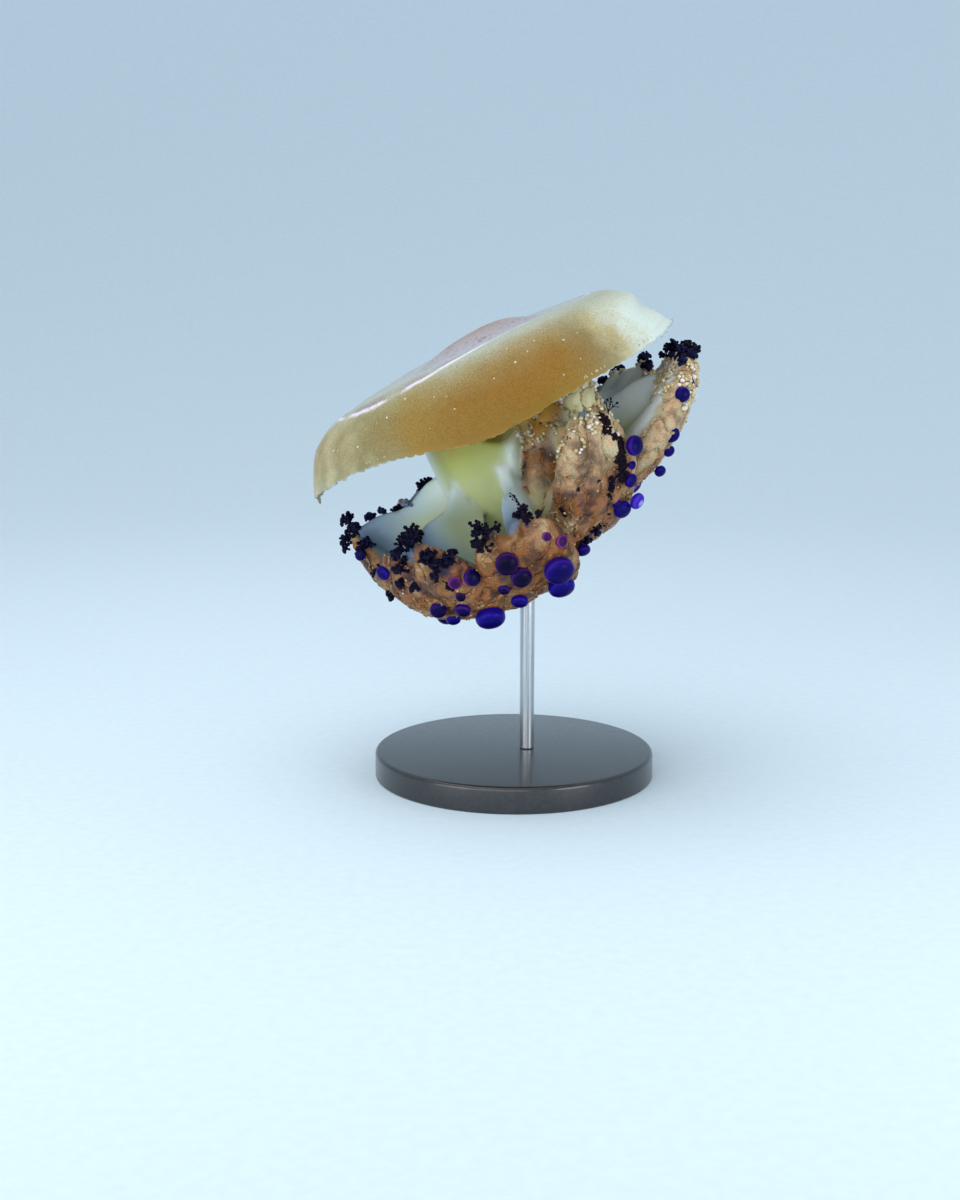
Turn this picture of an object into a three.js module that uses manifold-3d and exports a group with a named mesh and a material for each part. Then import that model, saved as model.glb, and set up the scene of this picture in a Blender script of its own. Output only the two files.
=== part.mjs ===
// A young fried-egg jellyfish (Cotylorhiza tuberculata), life size, as a still museum model.
// Millimetres, +Z up. The origin is the centre of the stand's underside.
// The animal is modelled upright in its own frame, whose origin is the centre of the bell's margin,
// and is then banked on its stand as one group.
import * as THREE from "three";
import { mergeVertices } from "three/addons/utils/BufferGeometryUtils.js";
import Module from "manifold-3d";

const wasm = await Module();
wasm.setup();

// Driving dimensions.
const BELL_RADIUS = 58;
const CROWN_RADIUS = 30; // the middle of the bell, inside the rim pieces
const RIM_RADIUS = 55.2; // where the rim pieces end and the lappets hang from them
const BELL_TOP = 23.4; // the dome above the margin
const DOME_SHIFT = 8.5; // how far the dome sits off the bell's centre
const SADDLE = 1.2; // how far the ring stands up along Y and dips along X
const STEM_TOP = 10.6; // where the pillars meet the bell's underside
const PILLAR_FOOT = -12; // where the pillars end and the arm disc begins
const CUT = 0.3; // the thin gap between two pieces that touch
const SLIVER = 0.08; // detail flatter than this isn't kept
const OCTANTS = 8;
const LAPPETS_PER_OCTANT = 7;
const PILLARS = 4;

const BANK_DEGREES = 26; // the animal leans to -X by this much
const MARGIN_CENTRE = new THREE.Vector3(-7, 0, 112);
const BASE_RADIUS = 43;
const BASE_THICK = 8;
const ROD_RADIUS = 2.2;
const ROD_X = 4;
const ROD_TOP = 84; // inside the arm disc

const DEG = Math.PI / 180;
const UP = new THREE.Vector3(0, 1, 0); // the axis that three.js lathes and cones stand on

// The eight oral arms. heading is the compass angle about the stem, border the one where the next arm
// begins, reach and tip place the arm's end, belly is the lowest point of its frills, full says how
// square the outer curve is, and gather how closely the two lobes are drawn together at the tip.
const ARMS = [
  { heading: 4, border: 21, reach: 60, tip: -9, belly: -43, full: 1.04, gather: 0.8 },
  { heading: 38, border: 62, reach: 58, tip: -9, belly: -45, full: 0.94, gather: 0.6 },
  { heading: 86, border: 109, reach: 54, tip: -13, belly: -49, full: 0.86, gather: 0.6 },
  { heading: 132, border: 156, reach: 54, tip: -15, belly: -52, full: 0.8, gather: 0.6 },
  { heading: 180, border: 202, reach: 55, tip: -13, belly: -54, full: 0.7, gather: 0.3 },
  { heading: 224, border: 243, reach: 55, tip: -21, belly: -55, full: 0.72, gather: 0.2 },
  { heading: 261, border: 276, reach: 53, tip: -26, belly: -54, full: 0.76, gather: 0.1 },
  { heading: 299, border: 318, reach: 50, tip: -8, belly: -48, full: 0.84, gather: 0.9 },
];

// Materials, one for each kind of flesh and for the stand.
const finish = (colour, roughness, metalness = 0) =>
  new THREE.MeshStandardMaterial({ color: colour, roughness, metalness });
const BELL_FLESH = finish("#b08a3c", 0.35);
const MARGIN_FLESH = finish("#c9b98a", 0.35);
const STEM_FLESH = finish("#cfd3a6", 0.4);
const ARM_FLESH = finish("#c3cdc8", 0.4);
const FRILL_FLESH = finish("#b07a4c", 0.6);
const BASE_LACQUER = finish("#1d1e21", 0.3);
const ROD_STEEL = finish("#b9bcc0", 0.25, 1);

// A closed three.js geometry as a solid that can be joined and cut.
function solid(geometry) {
  const bare = new THREE.BufferGeometry();
  bare.setAttribute("position", geometry.getAttribute("position"));
  bare.setIndex(geometry.index);
  const merged = mergeVertices(bare, 1e-4);
  const made = new wasm.Manifold(
    new wasm.Mesh({
      numProp: 3,
      vertProperties: new Float32Array(merged.attributes.position.array),
      triVerts: new Uint32Array(merged.index.array),
    }),
  );
  if (made.volume() >= 0) return made;
  const turned = new Uint32Array(merged.index.array).reverse();
  return new wasm.Manifold(
    new wasm.Mesh({
      numProp: 3,
      vertProperties: new Float32Array(merged.attributes.position.array),
      triVerts: turned,
    }),
  );
}

// The named mesh of a solid. Crumbs that a cut leaves loose and slivers along its edges are dropped.
function mesh(name, body, material) {
  const whole = body
    .decompose()
    .sort((a, b) => b.volume() - a.volume())[0]
    .asOriginal()
    .simplify(SLIVER);
  const { vertProperties, triVerts, numProp } = whole.getMesh();
  const points = new Float32Array((vertProperties.length / numProp) * 3);
  for (let i = 0; i < points.length / 3; i++)
    points.set(vertProperties.subarray(i * numProp, i * numProp + 3), i * 3);
  const geometry = new THREE.BufferGeometry();
  geometry.setAttribute("position", new THREE.BufferAttribute(points, 3));
  geometry.setIndex(new THREE.BufferAttribute(new Uint32Array(triVerts), 1));
  geometry.computeVertexNormals();
  const made = new THREE.Mesh(geometry, material);
  made.name = name;
  return made;
}

// Moves each vertex of a geometry to where place says.
function shaped(geometry, place) {
  const at = geometry.getAttribute("position");
  const point = new THREE.Vector3();
  for (let i = 0; i < at.count; i++) {
    point.fromBufferAttribute(at, i);
    at.setXYZ(i, ...place(point.x, point.y, point.z).toArray());
  }
  return geometry;
}

const polar = (radius, angle, height) =>
  new THREE.Vector3(radius * Math.cos(angle), radius * Math.sin(angle), height);

// Keeps the part of a body between two compass angles, less half a cut on each side.
function wedge(body, from, to) {
  const after = [-Math.sin(from), Math.cos(from), 0];
  const before = [Math.sin(to), -Math.cos(to), 0];
  return body.trimByPlane(after, CUT / 2).trimByPlane(before, CUT / 2);
}

// ---- Bell ----

// The bell's upper surface, from the dome over a shallow gutter and a raised ring to the margin.
const UPPER = new THREE.SplineCurve(
  [
    [0, BELL_TOP], [8, 22.8], [14, 21.4], [20, 19.6], [25, 18.9], [31, 18.9], [37, 19.2],
    [42, 18.9], [46.5, 17.2], [50, 14.4], [53, 10.6], [55.8, 5.3], [BELL_RADIUS, 0],
  ].map(([r, z]) => new THREE.Vector2(r, z)),
);
// The hollow underside, from the flat that the stem joins to the margin.
const LOWER = new THREE.SplineCurve(
  [
    [0, STEM_TOP + CUT], [14, STEM_TOP + CUT], [28, STEM_TOP + CUT], [38, 11.2],
    [46, 8.6], [52.4, 4], [56.9, 0],
  ].map(([r, z]) => new THREE.Vector2(r, z)),
);

// The height of a profile at a radius, by bisection, as the radius grows all along it.
function heightAt(profile, radius) {
  let low = 0;
  let high = 1;
  for (let step = 0; step < 24; step++) {
    const middle = (low + high) / 2;
    if (profile.getPoint(middle).x < radius) low = middle;
    else high = middle;
  }
  return profile.getPoint(low).y;
}

// How far the margin rises at a compass angle. Each sag is a depth, the angle of its middle, and its width.
const SAGS = [[3.6, 266, 19], [1.9, 340, 24]];
function marginRise(angle) {
  const wave = 1 + 2 * Math.cos(3 * (angle - 233 * DEG)) + 1.2 * Math.cos(angle - 215 * DEG);
  return SAGS.reduce((rise, [depth, middle, width]) => {
    const away = THREE.MathUtils.euclideanModulo(angle / DEG - middle + 180, 360) - 180;
    return rise - depth * Math.exp(-((away / width) ** 2));
  }, wave);
}

// The living bell isn't quite round: its dome sits off centre, its ring is a saddle and its margin waves.
function pulse(point) {
  const radius = Math.hypot(point.x, point.y);
  const out = radius / BELL_RADIUS;
  const angle = Math.atan2(point.y, point.x);
  const above = THREE.MathUtils.smoothstep(point.z, STEM_TOP + CUT, STEM_TOP + 6);
  const saddle = -SADDLE * Math.cos(2 * angle) * above * Math.min(1, (out / 0.72) ** 2);
  const swell = 1 + 0.012 * Math.sin(2 * angle + 0.8) * out ** 3;
  return new THREE.Vector3(
    point.x * swell + DOME_SHIFT * (1 - out) ** 2,
    point.y * swell,
    point.z + saddle + marginRise(angle) * out ** 6,
  );
}

// A lathe turned from a profile of [radius, height] pairs, standing along Z.
function turned(profile, segments) {
  const points = profile.map(([r, z]) => new THREE.Vector2(r, z));
  return new THREE.LatheGeometry(points, segments).rotateX(90 * DEG);
}

function bellCrown() {
  const stops = [0, 8, 15, 22, CROWN_RADIUS];
  const above = stops.map((r) => [r, heightAt(UPPER, r)]);
  const below = [CROWN_RADIUS, 0].map((r) => [r, heightAt(LOWER, r)]);
  above[0][1] = BELL_TOP;
  const crown = turned([...above, ...below], 20);
  shaped(crown, (x, y, z) => pulse(new THREE.Vector3(x, y, z)));
  return mesh("bell_crown", solid(crown), BELL_FLESH);
}

// One eighth of the rim: a block whose top and bottom follow the two profiles.
function bellRim(octant) {
  const middle = (octant * 360 * DEG) / OCTANTS;
  const inner = CROWN_RADIUS + CUT;
  const block = new THREE.BoxGeometry(1, 1, 1, 4, 5, 1);
  shaped(block, (x, y, z) => {
    const share = y + 0.5;
    const radius = inner + (RIM_RADIUS - inner) * (1 - (1 - share) ** 1.35);
    const height = heightAt(z > 0 ? UPPER : LOWER, radius);
    const reach = (360 * DEG) / OCTANTS - CUT / radius;
    return pulse(polar(radius, middle - x * reach, height));
  });
  return mesh(`bell_rim_${octant + 1}`, solid(block), BELL_FLESH);
}

// The row of small tongues that hang from one eighth of the margin.
function bellLappets(octant) {
  const middle = (octant * 360 * DEG) / OCTANTS;
  const root = RIM_RADIUS + CUT;
  const notch = 1.5; // how deep the slits between tongues are
  const strip = new THREE.BoxGeometry(1, 1, 1, LAPPETS_PER_OCTANT * 2, 1, 1);
  shaped(strip, (x, y, z) => {
    const tongue = Math.sin((x + 0.5) * LAPPETS_PER_OCTANT * Math.PI) ** 2;
    const share = y + 0.5;
    const upper = heightAt(UPPER, root) - CUT * 0.6;
    const lower = heightAt(LOWER, root);
    const hang = new THREE.Vector2(BELL_RADIUS, -1 + notch * (1 - tongue));
    const thick = z > 0 ? 0 : 0.8;
    const radius = THREE.MathUtils.lerp(root, hang.x - thick, share);
    const height = THREE.MathUtils.lerp(z > 0 ? upper : lower, hang.y, share);
    const reach = (360 * DEG) / OCTANTS - CUT / radius;
    return pulse(polar(radius, middle - x * reach, height));
  });
  return mesh(`bell_lappets_${octant + 1}`, solid(strip), MARGIN_FLESH);
}

// ---- Arms ----

// Where an arm's two lobes lie: from the border with one neighbour to that with the next.
function lobeSpan(k, side) {
  const { heading, border } = ARMS[k];
  let from = ARMS[(k + ARMS.length - 1) % ARMS.length].border;
  if (from > heading) from -= 360;
  return side < 0 ? [from * DEG, heading * DEG] : [heading * DEG, border * DEG];
}

// The arm's outer curve in its radial plane, from under the stem (t 0) out and up to the tip (t 1).
function outerCurve(arm, t) {
  const turn = (0.04 + 0.96 * t) * 90 * DEG;
  return new THREE.Vector2(
    arm.reach * Math.sin(turn) ** arm.full,
    arm.tip + (arm.belly - arm.tip) * Math.max(0, Math.cos(turn)) ** arm.full,
  );
}

// The direction from the outer curve into the flesh.
function inward(arm, t) {
  const step = 0.02;
  const ahead = outerCurve(arm, Math.min(1, t + step));
  const back = outerCurve(arm, Math.max(0, t - step));
  return new THREE.Vector2(-(ahead.y - back.y), ahead.x - back.x).normalize();
}

const LOBE_THICK = 15;
const TIP_START = 0.8; // where a lobe begins to round off towards its tip

// How much of a lobe's full thickness and width is left at t.
const rounding = (t) => Math.sqrt(1 - 0.88 * (Math.max(0, t - TIP_START) / (1 - TIP_START)) ** 2);
const lobeThick = (t) => LOBE_THICK * (1 - 0.55 * t ** 2) * rounding(t);

// A point of a lobe: across is -1 on the outer face and 1 on the inner, sideways runs along the tangent.
function lobePoint(k, side, t, across, sideways, grow = 0) {
  const arm = ARMS[k];
  const [from, to] = lobeSpan(k, side);
  const half = (to - from) / 2;
  const angle = (from + to) / 2 - side * half * (0.1 * t + 0.55 * arm.gather * t ** 3);
  const depth = lobeThick(t) / 2;
  const at = outerCurve(arm, t).addScaledVector(inward(arm, t), depth + (depth + grow) * across);
  const slim = 1.3 - (0.4 + 0.45 * arm.gather) * t ** 2;
  const width = Math.max(4, at.x * Math.tan(half) * slim) * rounding(t) + grow;
  const tangent = new THREE.Vector3(-Math.sin(angle), Math.cos(angle), 0);
  return polar(at.x, angle, at.y).addScaledVector(tangent, width * sideways);
}

// The plain body of a lobe: a squarish drum bent along the arm. grow makes it that much fatter.
function lobeBody(k, side, grow = 0) {
  const drum = new THREE.CylinderGeometry(1, 1, 1, 8, 6);
  const squared = (value) => Math.sign(value) * Math.abs(value) ** 0.75;
  shaped(drum, (x, y, z) => {
    const t = 1 - (0.5 - y) ** 1.4;
    return lobePoint(k, side, t, squared(x), squared(z) * side, grow);
  });
  return solid(drum);
}

// Stands a lathe on a lobe's outer face, pointing outwards.
function planted(geometry, k, side, t, sideways) {
  const edge = Math.sqrt(Math.max(0, 1 - sideways * sideways));
  const foot = lobePoint(k, side, t, -edge, sideways);
  const core = lobePoint(k, side, t, 0, sideways * 0.4);
  const out = foot.clone().sub(core).normalize();
  const turn = new THREE.Quaternion().setFromUnitVectors(UP, out);
  return geometry.applyQuaternion(turn).translate(...foot.toArray());
}

// A button: a violet pad on a short stalk.
function button(k, side, t, sideways, size, stalk = 0) {
  const profile = [
    [0, -1.5],
    [size * 0.5, size * 0.22 + stalk],
    [size * 0.42, size * 0.44 + stalk],
    [0, size * 0.5 + stalk],
  ].map(([r, z]) => new THREE.Vector2(r, z));
  return solid(planted(new THREE.LatheGeometry(profile, 6), k, side, t, sideways));
}

// The buttons of each lobe: how far along the arm, where across it, how wide, and how long a stalk.
const PAIR = [
  [0.3, 0.25, 6.4],
  [0.62, -0.35, 5],
];
const TRIO = [
  [0.24, -0.3, 5.4],
  [0.5, 0.4, 6.6],
  [0.78, -0.1, 4],
];
const BUTTONS = [
  {
    a: [[0.44, -0.25, 3.6, 2], [0.53, -0.4, 3.4, 1], [0.61, -0.65, 4.8], [0.8, -0.85, 4.6]],
    b: PAIR,
  },
  { a: TRIO, b: PAIR },
  { a: PAIR, b: TRIO },
  { a: PAIR, b: PAIR },
  { a: TRIO, b: [[0.4, 0.3, 6], [0.94, 0.7, 3.4]] },
  {
    a: [[0.5, 0.2, 4.2], [0.64, 0.5, 5.2], [0.96, 0, 4.4, 1.5]],
    b: [[0.44, 0, 8.8], [0.6, -0.2, 4.8], [0.76, 0.9, 4.8], [0.8, 0.5, 5.4]],
  },
  {
    a: [[0.48, -0.3, 5, 1], [0.64, -0.4, 3.5], [0.7, 0.35, 6], [0.84, 0.25, 6.6]],
    b: [[0.42, -0.25, 7.8], [0.64, 0.05, 8.4], [0.8, 0.65, 3.6]],
  },
  {
    a: [[0.28, -0.2, 4.4, 1]],
    b: [[0.46, -0.15, 5.1], [0.5, 0.3, 4.8, 2], [0.62, 0.15, 4], [0.79, 0.5, 6, 1.5]],
  },
];

// A sprig: a small bush of three points, at the edge of a lobe.
function sprig(k, side, t, sideways, size) {
  const profile = [
    [0, -1.2],
    [size * 0.45, size * 0.62],
    [0, size * 0.3],
  ].map(([r, z]) => new THREE.Vector2(r, z));
  const bush = new THREE.LatheGeometry(profile, 6);
  shaped(bush, (x, y, z) => {
    const between = x * x + z * z > 1e-6 ? Math.sin(1.5 * Math.atan2(z, x)) ** 2 : 0;
    return new THREE.Vector3(x, y, z).multiplyScalar(1 - 0.5 * between);
  });
  return solid(planted(bush, k, side, t, sideways));
}

// The sprigs of each lobe, in the same terms.
const SPRIGS = [
  [0.98, 0, 5],
  [0.9, 0.85, 4.6],
  [0.88, -0.85, 4.6],
];

function lobe(k, side) {
  const buttons = BUTTONS[k][side < 0 ? "a" : "b"].map((where) => button(k, side, ...where));
  const sprigs = SPRIGS.map((where) => sprig(k, side, ...where));
  const whole = wasm.Manifold.union([lobeBody(k, side), ...buttons, ...sprigs]);
  return wedge(whole, ...lobeSpan(k, side));
}

// The smooth inner blade of an arm, a fin that stands between the stem and the lobes.
function blade(k) {
  const arm = ARMS[k];
  const heading = arm.heading * DEG;
  const fin = new THREE.BoxGeometry(1, 1, 1, 4, 2, 1);
  shaped(fin, (x, y, z) => {
    const out = x + 0.5;
    const up = y + 0.5;
    const t = 0.3 + 0.66 * out;
    const low = outerCurve(arm, t).addScaledVector(inward(arm, t), lobeThick(t) * 0.6);
    const high = new THREE.Vector2(
      THREE.MathUtils.lerp(17, arm.reach - 2.5, out),
      THREE.MathUtils.lerp(-8, arm.tip - 0.5, out) - 3 * Math.sin(out * Math.PI),
    );
    const at = low.lerp(high, up);
    const half = THREE.MathUtils.lerp(5, 1.4, Math.max(up, out * 0.9));
    const tangent = new THREE.Vector3(-Math.sin(heading), Math.cos(heading), 0);
    return polar(at.x, heading, at.y).addScaledVector(tangent, -z * 2 * half);
  });
  return solid(fin);
}

// ---- Stem ----

// The stem's outer surface, flaring to the bell above and to the arm disc below.
const STEM = [
  [27, STEM_TOP], [25.5, 5], [24.5, -2], [24.5, PILLAR_FOOT], [23, -20], [19, -28], [11, -38], [0, -40],
];
const fluted = (grow) => (x, y, z) => {
  const angle = Math.atan2(y, x);
  const radius = Math.hypot(x, y);
  const flute = 1 + 0.07 * Math.cos(PILLARS * (angle - 45 * DEG));
  return polar(radius > 0 ? radius * flute + grow : 0, angle, z);
};

function stemBody(grow = 0) {
  const profile = [[0, STEM_TOP], ...STEM];
  return solid(shaped(turned(profile, 20), fluted(grow)));
}

// The four openings under the bell, between the pillars.
function archway(turn) {
  const arch = new THREE.SphereGeometry(1, 10, 6).scale(12, 7.5, 8.6).translate(25, 0, 0.5);
  return solid(arch.rotateZ(turn));
}

// ---- Stand ----

function standBase() {
  const bevel = 1.2;
  const profile = [
    [0, 0], [BASE_RADIUS, 0], [BASE_RADIUS, BASE_THICK - bevel],
    [BASE_RADIUS - bevel, BASE_THICK], [0, BASE_THICK],
  ];
  return mesh("stand_base", solid(turned(profile, 30)), BASE_LACQUER);
}

function rodBody(radius, bottom, top) {
  const rod = new THREE.CylinderGeometry(radius, radius, top - bottom, 14).rotateX(90 * DEG);
  return rod.translate(ROD_X, 0, (top + bottom) / 2);
}

// ---- The whole part ----

const animal = new THREE.Group();
animal.rotation.y = -BANK_DEGREES * DEG;
animal.position.copy(MARGIN_CENTRE);
animal.updateMatrix();

// The hole that the rod leaves in the flesh, in the animal's own frame.
const rodHole = solid(
  rodBody(ROD_RADIUS + CUT, BASE_THICK, ROD_TOP + CUT).applyMatrix4(animal.matrix.clone().invert()),
);

animal.add(bellCrown());
for (let octant = 0; octant < OCTANTS; octant++) animal.add(bellRim(octant), bellLappets(octant));

const grownLobes = wasm.Manifold.union(
  ARMS.flatMap((arm, k) => [-1, 1].map((side) => lobeBody(k, side, CUT))),
);
const stem = stemBody().subtract(grownLobes);
const discBody = stem.trimByPlane([0, 0, -1], -PILLAR_FOOT + CUT);
animal.add(mesh("arm_disc", discBody.subtract(rodHole), STEM_FLESH));
for (let k = 0; k < PILLARS; k++) {
  const from = k * 90 * DEG;
  const quarter = wedge(stem.trimByPlane([0, 0, 1], PILLAR_FOOT), from, from + 90 * DEG);
  const open = quarter.subtract(archway(from)).subtract(archway(from + 90 * DEG));
  animal.add(mesh(`pillar_${k + 1}`, open, STEM_FLESH));
}

const grownStem = stemBody(CUT);
ARMS.forEach((arm, k) => {
  const fin = blade(k).subtract(grownLobes).subtract(grownStem);
  animal.add(mesh(`arm_${k + 1}_blade`, fin.subtract(rodHole), ARM_FLESH));
  [-1, 1].forEach((side) => {
    const name = `arm_${k + 1}_frill_${side < 0 ? "a" : "b"}`;
    animal.add(mesh(name, lobe(k, side).subtract(rodHole), FRILL_FLESH));
  });
});

const part = new THREE.Group();
part.add(animal, standBase());
part.add(mesh("stand_rod", solid(rodBody(ROD_RADIUS, BASE_THICK + CUT, ROD_TOP)), ROD_STEEL));

export default part;
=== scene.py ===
import math
from functools import partial

import bpy
import numpy as np
from bpy.props import FloatProperty, FloatVectorProperty, PointerProperty
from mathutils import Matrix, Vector, kdtree


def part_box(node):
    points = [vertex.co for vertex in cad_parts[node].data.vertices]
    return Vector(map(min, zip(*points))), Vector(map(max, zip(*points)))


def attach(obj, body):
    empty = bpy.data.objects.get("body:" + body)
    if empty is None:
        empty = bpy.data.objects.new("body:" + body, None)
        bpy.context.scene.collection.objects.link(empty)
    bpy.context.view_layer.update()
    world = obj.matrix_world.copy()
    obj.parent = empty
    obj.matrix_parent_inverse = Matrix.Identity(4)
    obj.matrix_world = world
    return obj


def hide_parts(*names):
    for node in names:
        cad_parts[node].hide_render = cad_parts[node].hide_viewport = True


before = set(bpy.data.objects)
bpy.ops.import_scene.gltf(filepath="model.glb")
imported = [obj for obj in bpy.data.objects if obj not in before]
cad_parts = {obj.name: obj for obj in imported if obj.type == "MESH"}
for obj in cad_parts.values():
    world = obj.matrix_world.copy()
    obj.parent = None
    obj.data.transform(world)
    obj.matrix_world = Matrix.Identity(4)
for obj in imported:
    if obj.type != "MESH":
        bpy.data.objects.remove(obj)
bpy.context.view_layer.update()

# A young fried-egg jellyfish (Cotylorhiza tuberculata), life size, on a plain display stand.
# The animal is modelled upright in millimetres, in its own frame: the origin is the centre of the
# bell's margin and +Z runs up the bell. stand_up then banks each finished piece over the stand.

bl_info = {
    "name": "Fried-egg jellyfish",
    "version": (1, 0, 0),
    "blender": (4, 5, 0),
    "location": "View3D > Sidebar > Jellyfish",
    "description": "Builds a life-size fried-egg jellyfish on its display stand",
    "category": "Add Mesh",
}

# ---- The animal's sizes, in millimetres ----

MM = 0.001
BANK = math.radians(26)  # the animal leans to -X by this much
MARGIN_CENTRE = np.array((-7.0, 0.0, 112.0))
BELL_RADIUS = 58
SIDE_SWELL = 1 + 0.012 * math.sin(math.pi + 0.8)  # the bell's width across Y for a round one of 1
DOME_SHIFT = 8.5
SADDLE = 1.2
SAGS = ((3.6, 266, 19), (1.9, 340, 24))  # where the margin hangs lower: depth, compass angle, width
STEM_TOP = 10.6
CUT = 0.3
LOBE_THICK = 15
TIP_START = 0.8

# The eight oral arms: compass heading, where the next arm begins, reach and height of the tip, lowest
# point, fullness of the curve, and how closely the two lobes are drawn together at the tip.
ARMS = [
    (4, 21, 60, -9, -43, 1.04, 0.8),
    (38, 62, 58, -9, -45, 0.94, 0.6),
    (86, 109, 54, -13, -49, 0.86, 0.6),
    (132, 156, 54, -15, -52, 0.80, 0.6),
    (180, 202, 55, -13, -54, 0.70, 0.3),
    (224, 243, 55, -21, -55, 0.72, 0.2),
    (261, 276, 53, -26, -54, 0.76, 0.1),
    (299, 318, 50, -8, -48, 0.84, 0.9),
]
SIDES = (-1, 1)


def smooth_line(points, steps=10):
    """Points along one smooth curve through the given ones."""
    ends = np.array([points[0], *points, points[-1]], float)
    t = np.linspace(0, 1, steps, endpoint=False)[:, None]
    runs = []
    for before, start, stop, after in zip(ends, ends[1:], ends[2:], ends[3:]):
        leave = (stop - before) / 2
        arrive = (after - start) / 2
        bend = (2 * start - 2 * stop + leave + arrive) * t**3
        bend += (3 * stop - 3 * start - 2 * leave - arrive) * t**2
        runs.append(bend + leave * t + start)
    return np.vstack((*runs, ends[-1:]))


# The bell's upper surface: dome, shallow gutter, raised ring and flank, as radius and height.
UPPER = smooth_line(
    [
        (0, 23.4), (8, 22.8), (14, 21.4), (20, 19.6), (25, 18.9), (31, 18.9), (37, 19.2),
        (42, 18.9), (46.5, 17.2), (50, 14.4), (53, 10.6), (55.8, 5.3), (58, 0),
    ]
)
# The hollow underside.
LOWER = smooth_line(
    [(0, 10.9), (14, 10.9), (28, 10.9), (38, 11.2), (46, 8.6), (52.4, 4), (56.9, 0)]
)
# The stem's outer surface, from inside the bell down to the middle of the arms.
STEM = smooth_line(
    [(31, 13), (27, 10), (25.5, 5), (24.5, -2), (24.5, -12), (23, -20), (19, -28), (11, -38), (0, -40)]
)


def polar(radius, angle, height):
    """Points at a radius, an angle in radians and a height."""
    return np.stack((radius * np.cos(angle), radius * np.sin(angle), height + 0 * radius * angle), -1)


def bump_at(angle, middle, width):
    """A smooth hump round one compass angle, all in degrees."""
    return np.exp(-((((angle - middle + 180) % 360 - 180) / width) ** 2))


def rise(value, start, length, most=1):
    """Rises from 0 at the start to 1 over a length, which is negative where it rises downwards."""
    return np.clip((value - start) / length, 0, most)


def margin_rise(angle):
    """How far the bell's margin rises at a compass angle in radians."""
    height = 1 + 2 * np.cos(3 * (angle - math.radians(233))) + 1.2 * np.cos(angle - math.radians(215))
    for depth, middle, width in SAGS:
        height = height - depth * bump_at(np.degrees(angle), middle, width)
    return height


def pulse(points):
    """Gives the round bell its life: a dome off centre, a saddled ring, a furrow over +X, a waving margin."""
    x, y, z = points.T
    out = np.hypot(x, y) / BELL_RADIUS
    angle = np.arctan2(y, x)
    above = rise(z - STEM_TOP, CUT, 6 - CUT)
    above = above**2 * (3 - 2 * above)
    saddle = -SADDLE * np.cos(2 * angle) * above * np.minimum(1, (out / 0.72) ** 2)
    furrow = np.exp(-(((z - 7.5) / 3) ** 2)) * bump_at(np.degrees(angle), -6, 15)
    swell = 1 + 0.012 * np.sin(2 * angle + 0.8) * out**3 - 0.04 * furrow * (out > 0.8)
    shift = DOME_SHIFT * np.maximum(0, 1 - out) ** 2
    return np.column_stack((x * swell + shift, y * swell, z + saddle + margin_rise(angle) * out**6))


def bell_share(points):
    """How far out on the bell each point is: 0 under the top of the dome, 1 at the margin."""
    share = np.hypot(points[:, 0], points[:, 1]) / BELL_RADIUS
    for _ in range(6):
        shift = DOME_SHIFT * np.maximum(0, 1 - share) ** 2
        share = np.hypot(points[:, 0] - shift, points[:, 1]) / BELL_RADIUS
    return share


def on_bell(angle, share, proud=0.0):
    """Points on the bell's upper surface, at a compass angle in degrees and a share of the radius."""
    radius = np.asarray(share, float) * BELL_RADIUS
    height = np.interp(radius, UPPER[:, 0], UPPER[:, 1]) + proud
    return pulse(np.atleast_2d(polar(radius, np.radians(angle), height)))


def lobe_span(arm, side):
    """The compass angles between which a lobe lies, in radians."""
    heading, border = ARMS[arm][:2]
    start = ARMS[(arm + 7) % 8][1]
    if start > heading:
        start -= 360
    return np.radians((start, heading) if side < 0 else (heading, border))


def outer_curve(arm, t):
    """An arm's outer curve, as radius and height, from under the stem at t 0 to the tip at t 1."""
    reach, tip, belly, full = ARMS[arm][2:6]
    turn = (0.04 + 0.96 * t) * math.pi / 2
    radius = reach * np.sin(turn) ** full
    return np.stack((radius, tip + (belly - tip) * np.maximum(0, np.cos(turn)) ** full), -1)


def inward(arm, t):
    """The direction from the outer curve into the flesh."""
    ahead = outer_curve(arm, np.minimum(1, t + 0.02))
    back = outer_curve(arm, np.maximum(0, t - 0.02))
    way = np.stack((back[..., 1] - ahead[..., 1], ahead[..., 0] - back[..., 0]), -1)
    return way / np.linalg.norm(way, axis=-1, keepdims=True)


def rounding(t):
    """How much of its size a lobe keeps where its tip rounds off."""
    return np.sqrt(1 - 0.88 * (np.maximum(0, t - TIP_START) / (1 - TIP_START)) ** 2)


def lobe_thick(t):
    """A lobe's thickness, which falls towards its tip."""
    return LOBE_THICK * (1 - 0.55 * t**2) * rounding(t)


def lobe_point(arm, side, t, across, sideways):
    """A point of a lobe: across is -1 on its outer face and 1 on its inner, sideways runs round the stem."""
    t, across, sideways = np.broadcast_arrays(*(np.asarray(v, float) for v in (t, across, sideways)))
    start, stop = lobe_span(arm, side)
    half = (stop - start) / 2
    gather = ARMS[arm][6]
    angle = (start + stop) / 2 - side * half * (0.1 * t + 0.55 * gather * t**3)
    depth = lobe_thick(t) / 2
    at = outer_curve(arm, t) + inward(arm, t) * (depth + depth * across)[..., None]
    slim = 1.3 - (0.4 + 0.45 * gather) * t**2
    width = np.maximum(4, at[..., 0] * math.tan(half) * slim) * rounding(t)
    tangent = np.stack((-np.sin(angle), np.cos(angle), 0 * angle), -1)
    return polar(at[..., 0], angle, at[..., 1]) + tangent * (width * sideways)[..., None]


def squared(value):
    """Fills a round outline out towards a square one."""
    return np.sign(value) * np.abs(value) ** 0.75


def unit(vectors):
    """The same directions, 1 long."""
    return vectors / np.maximum(1e-9, np.linalg.norm(vectors, axis=-1, keepdims=True))


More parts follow.
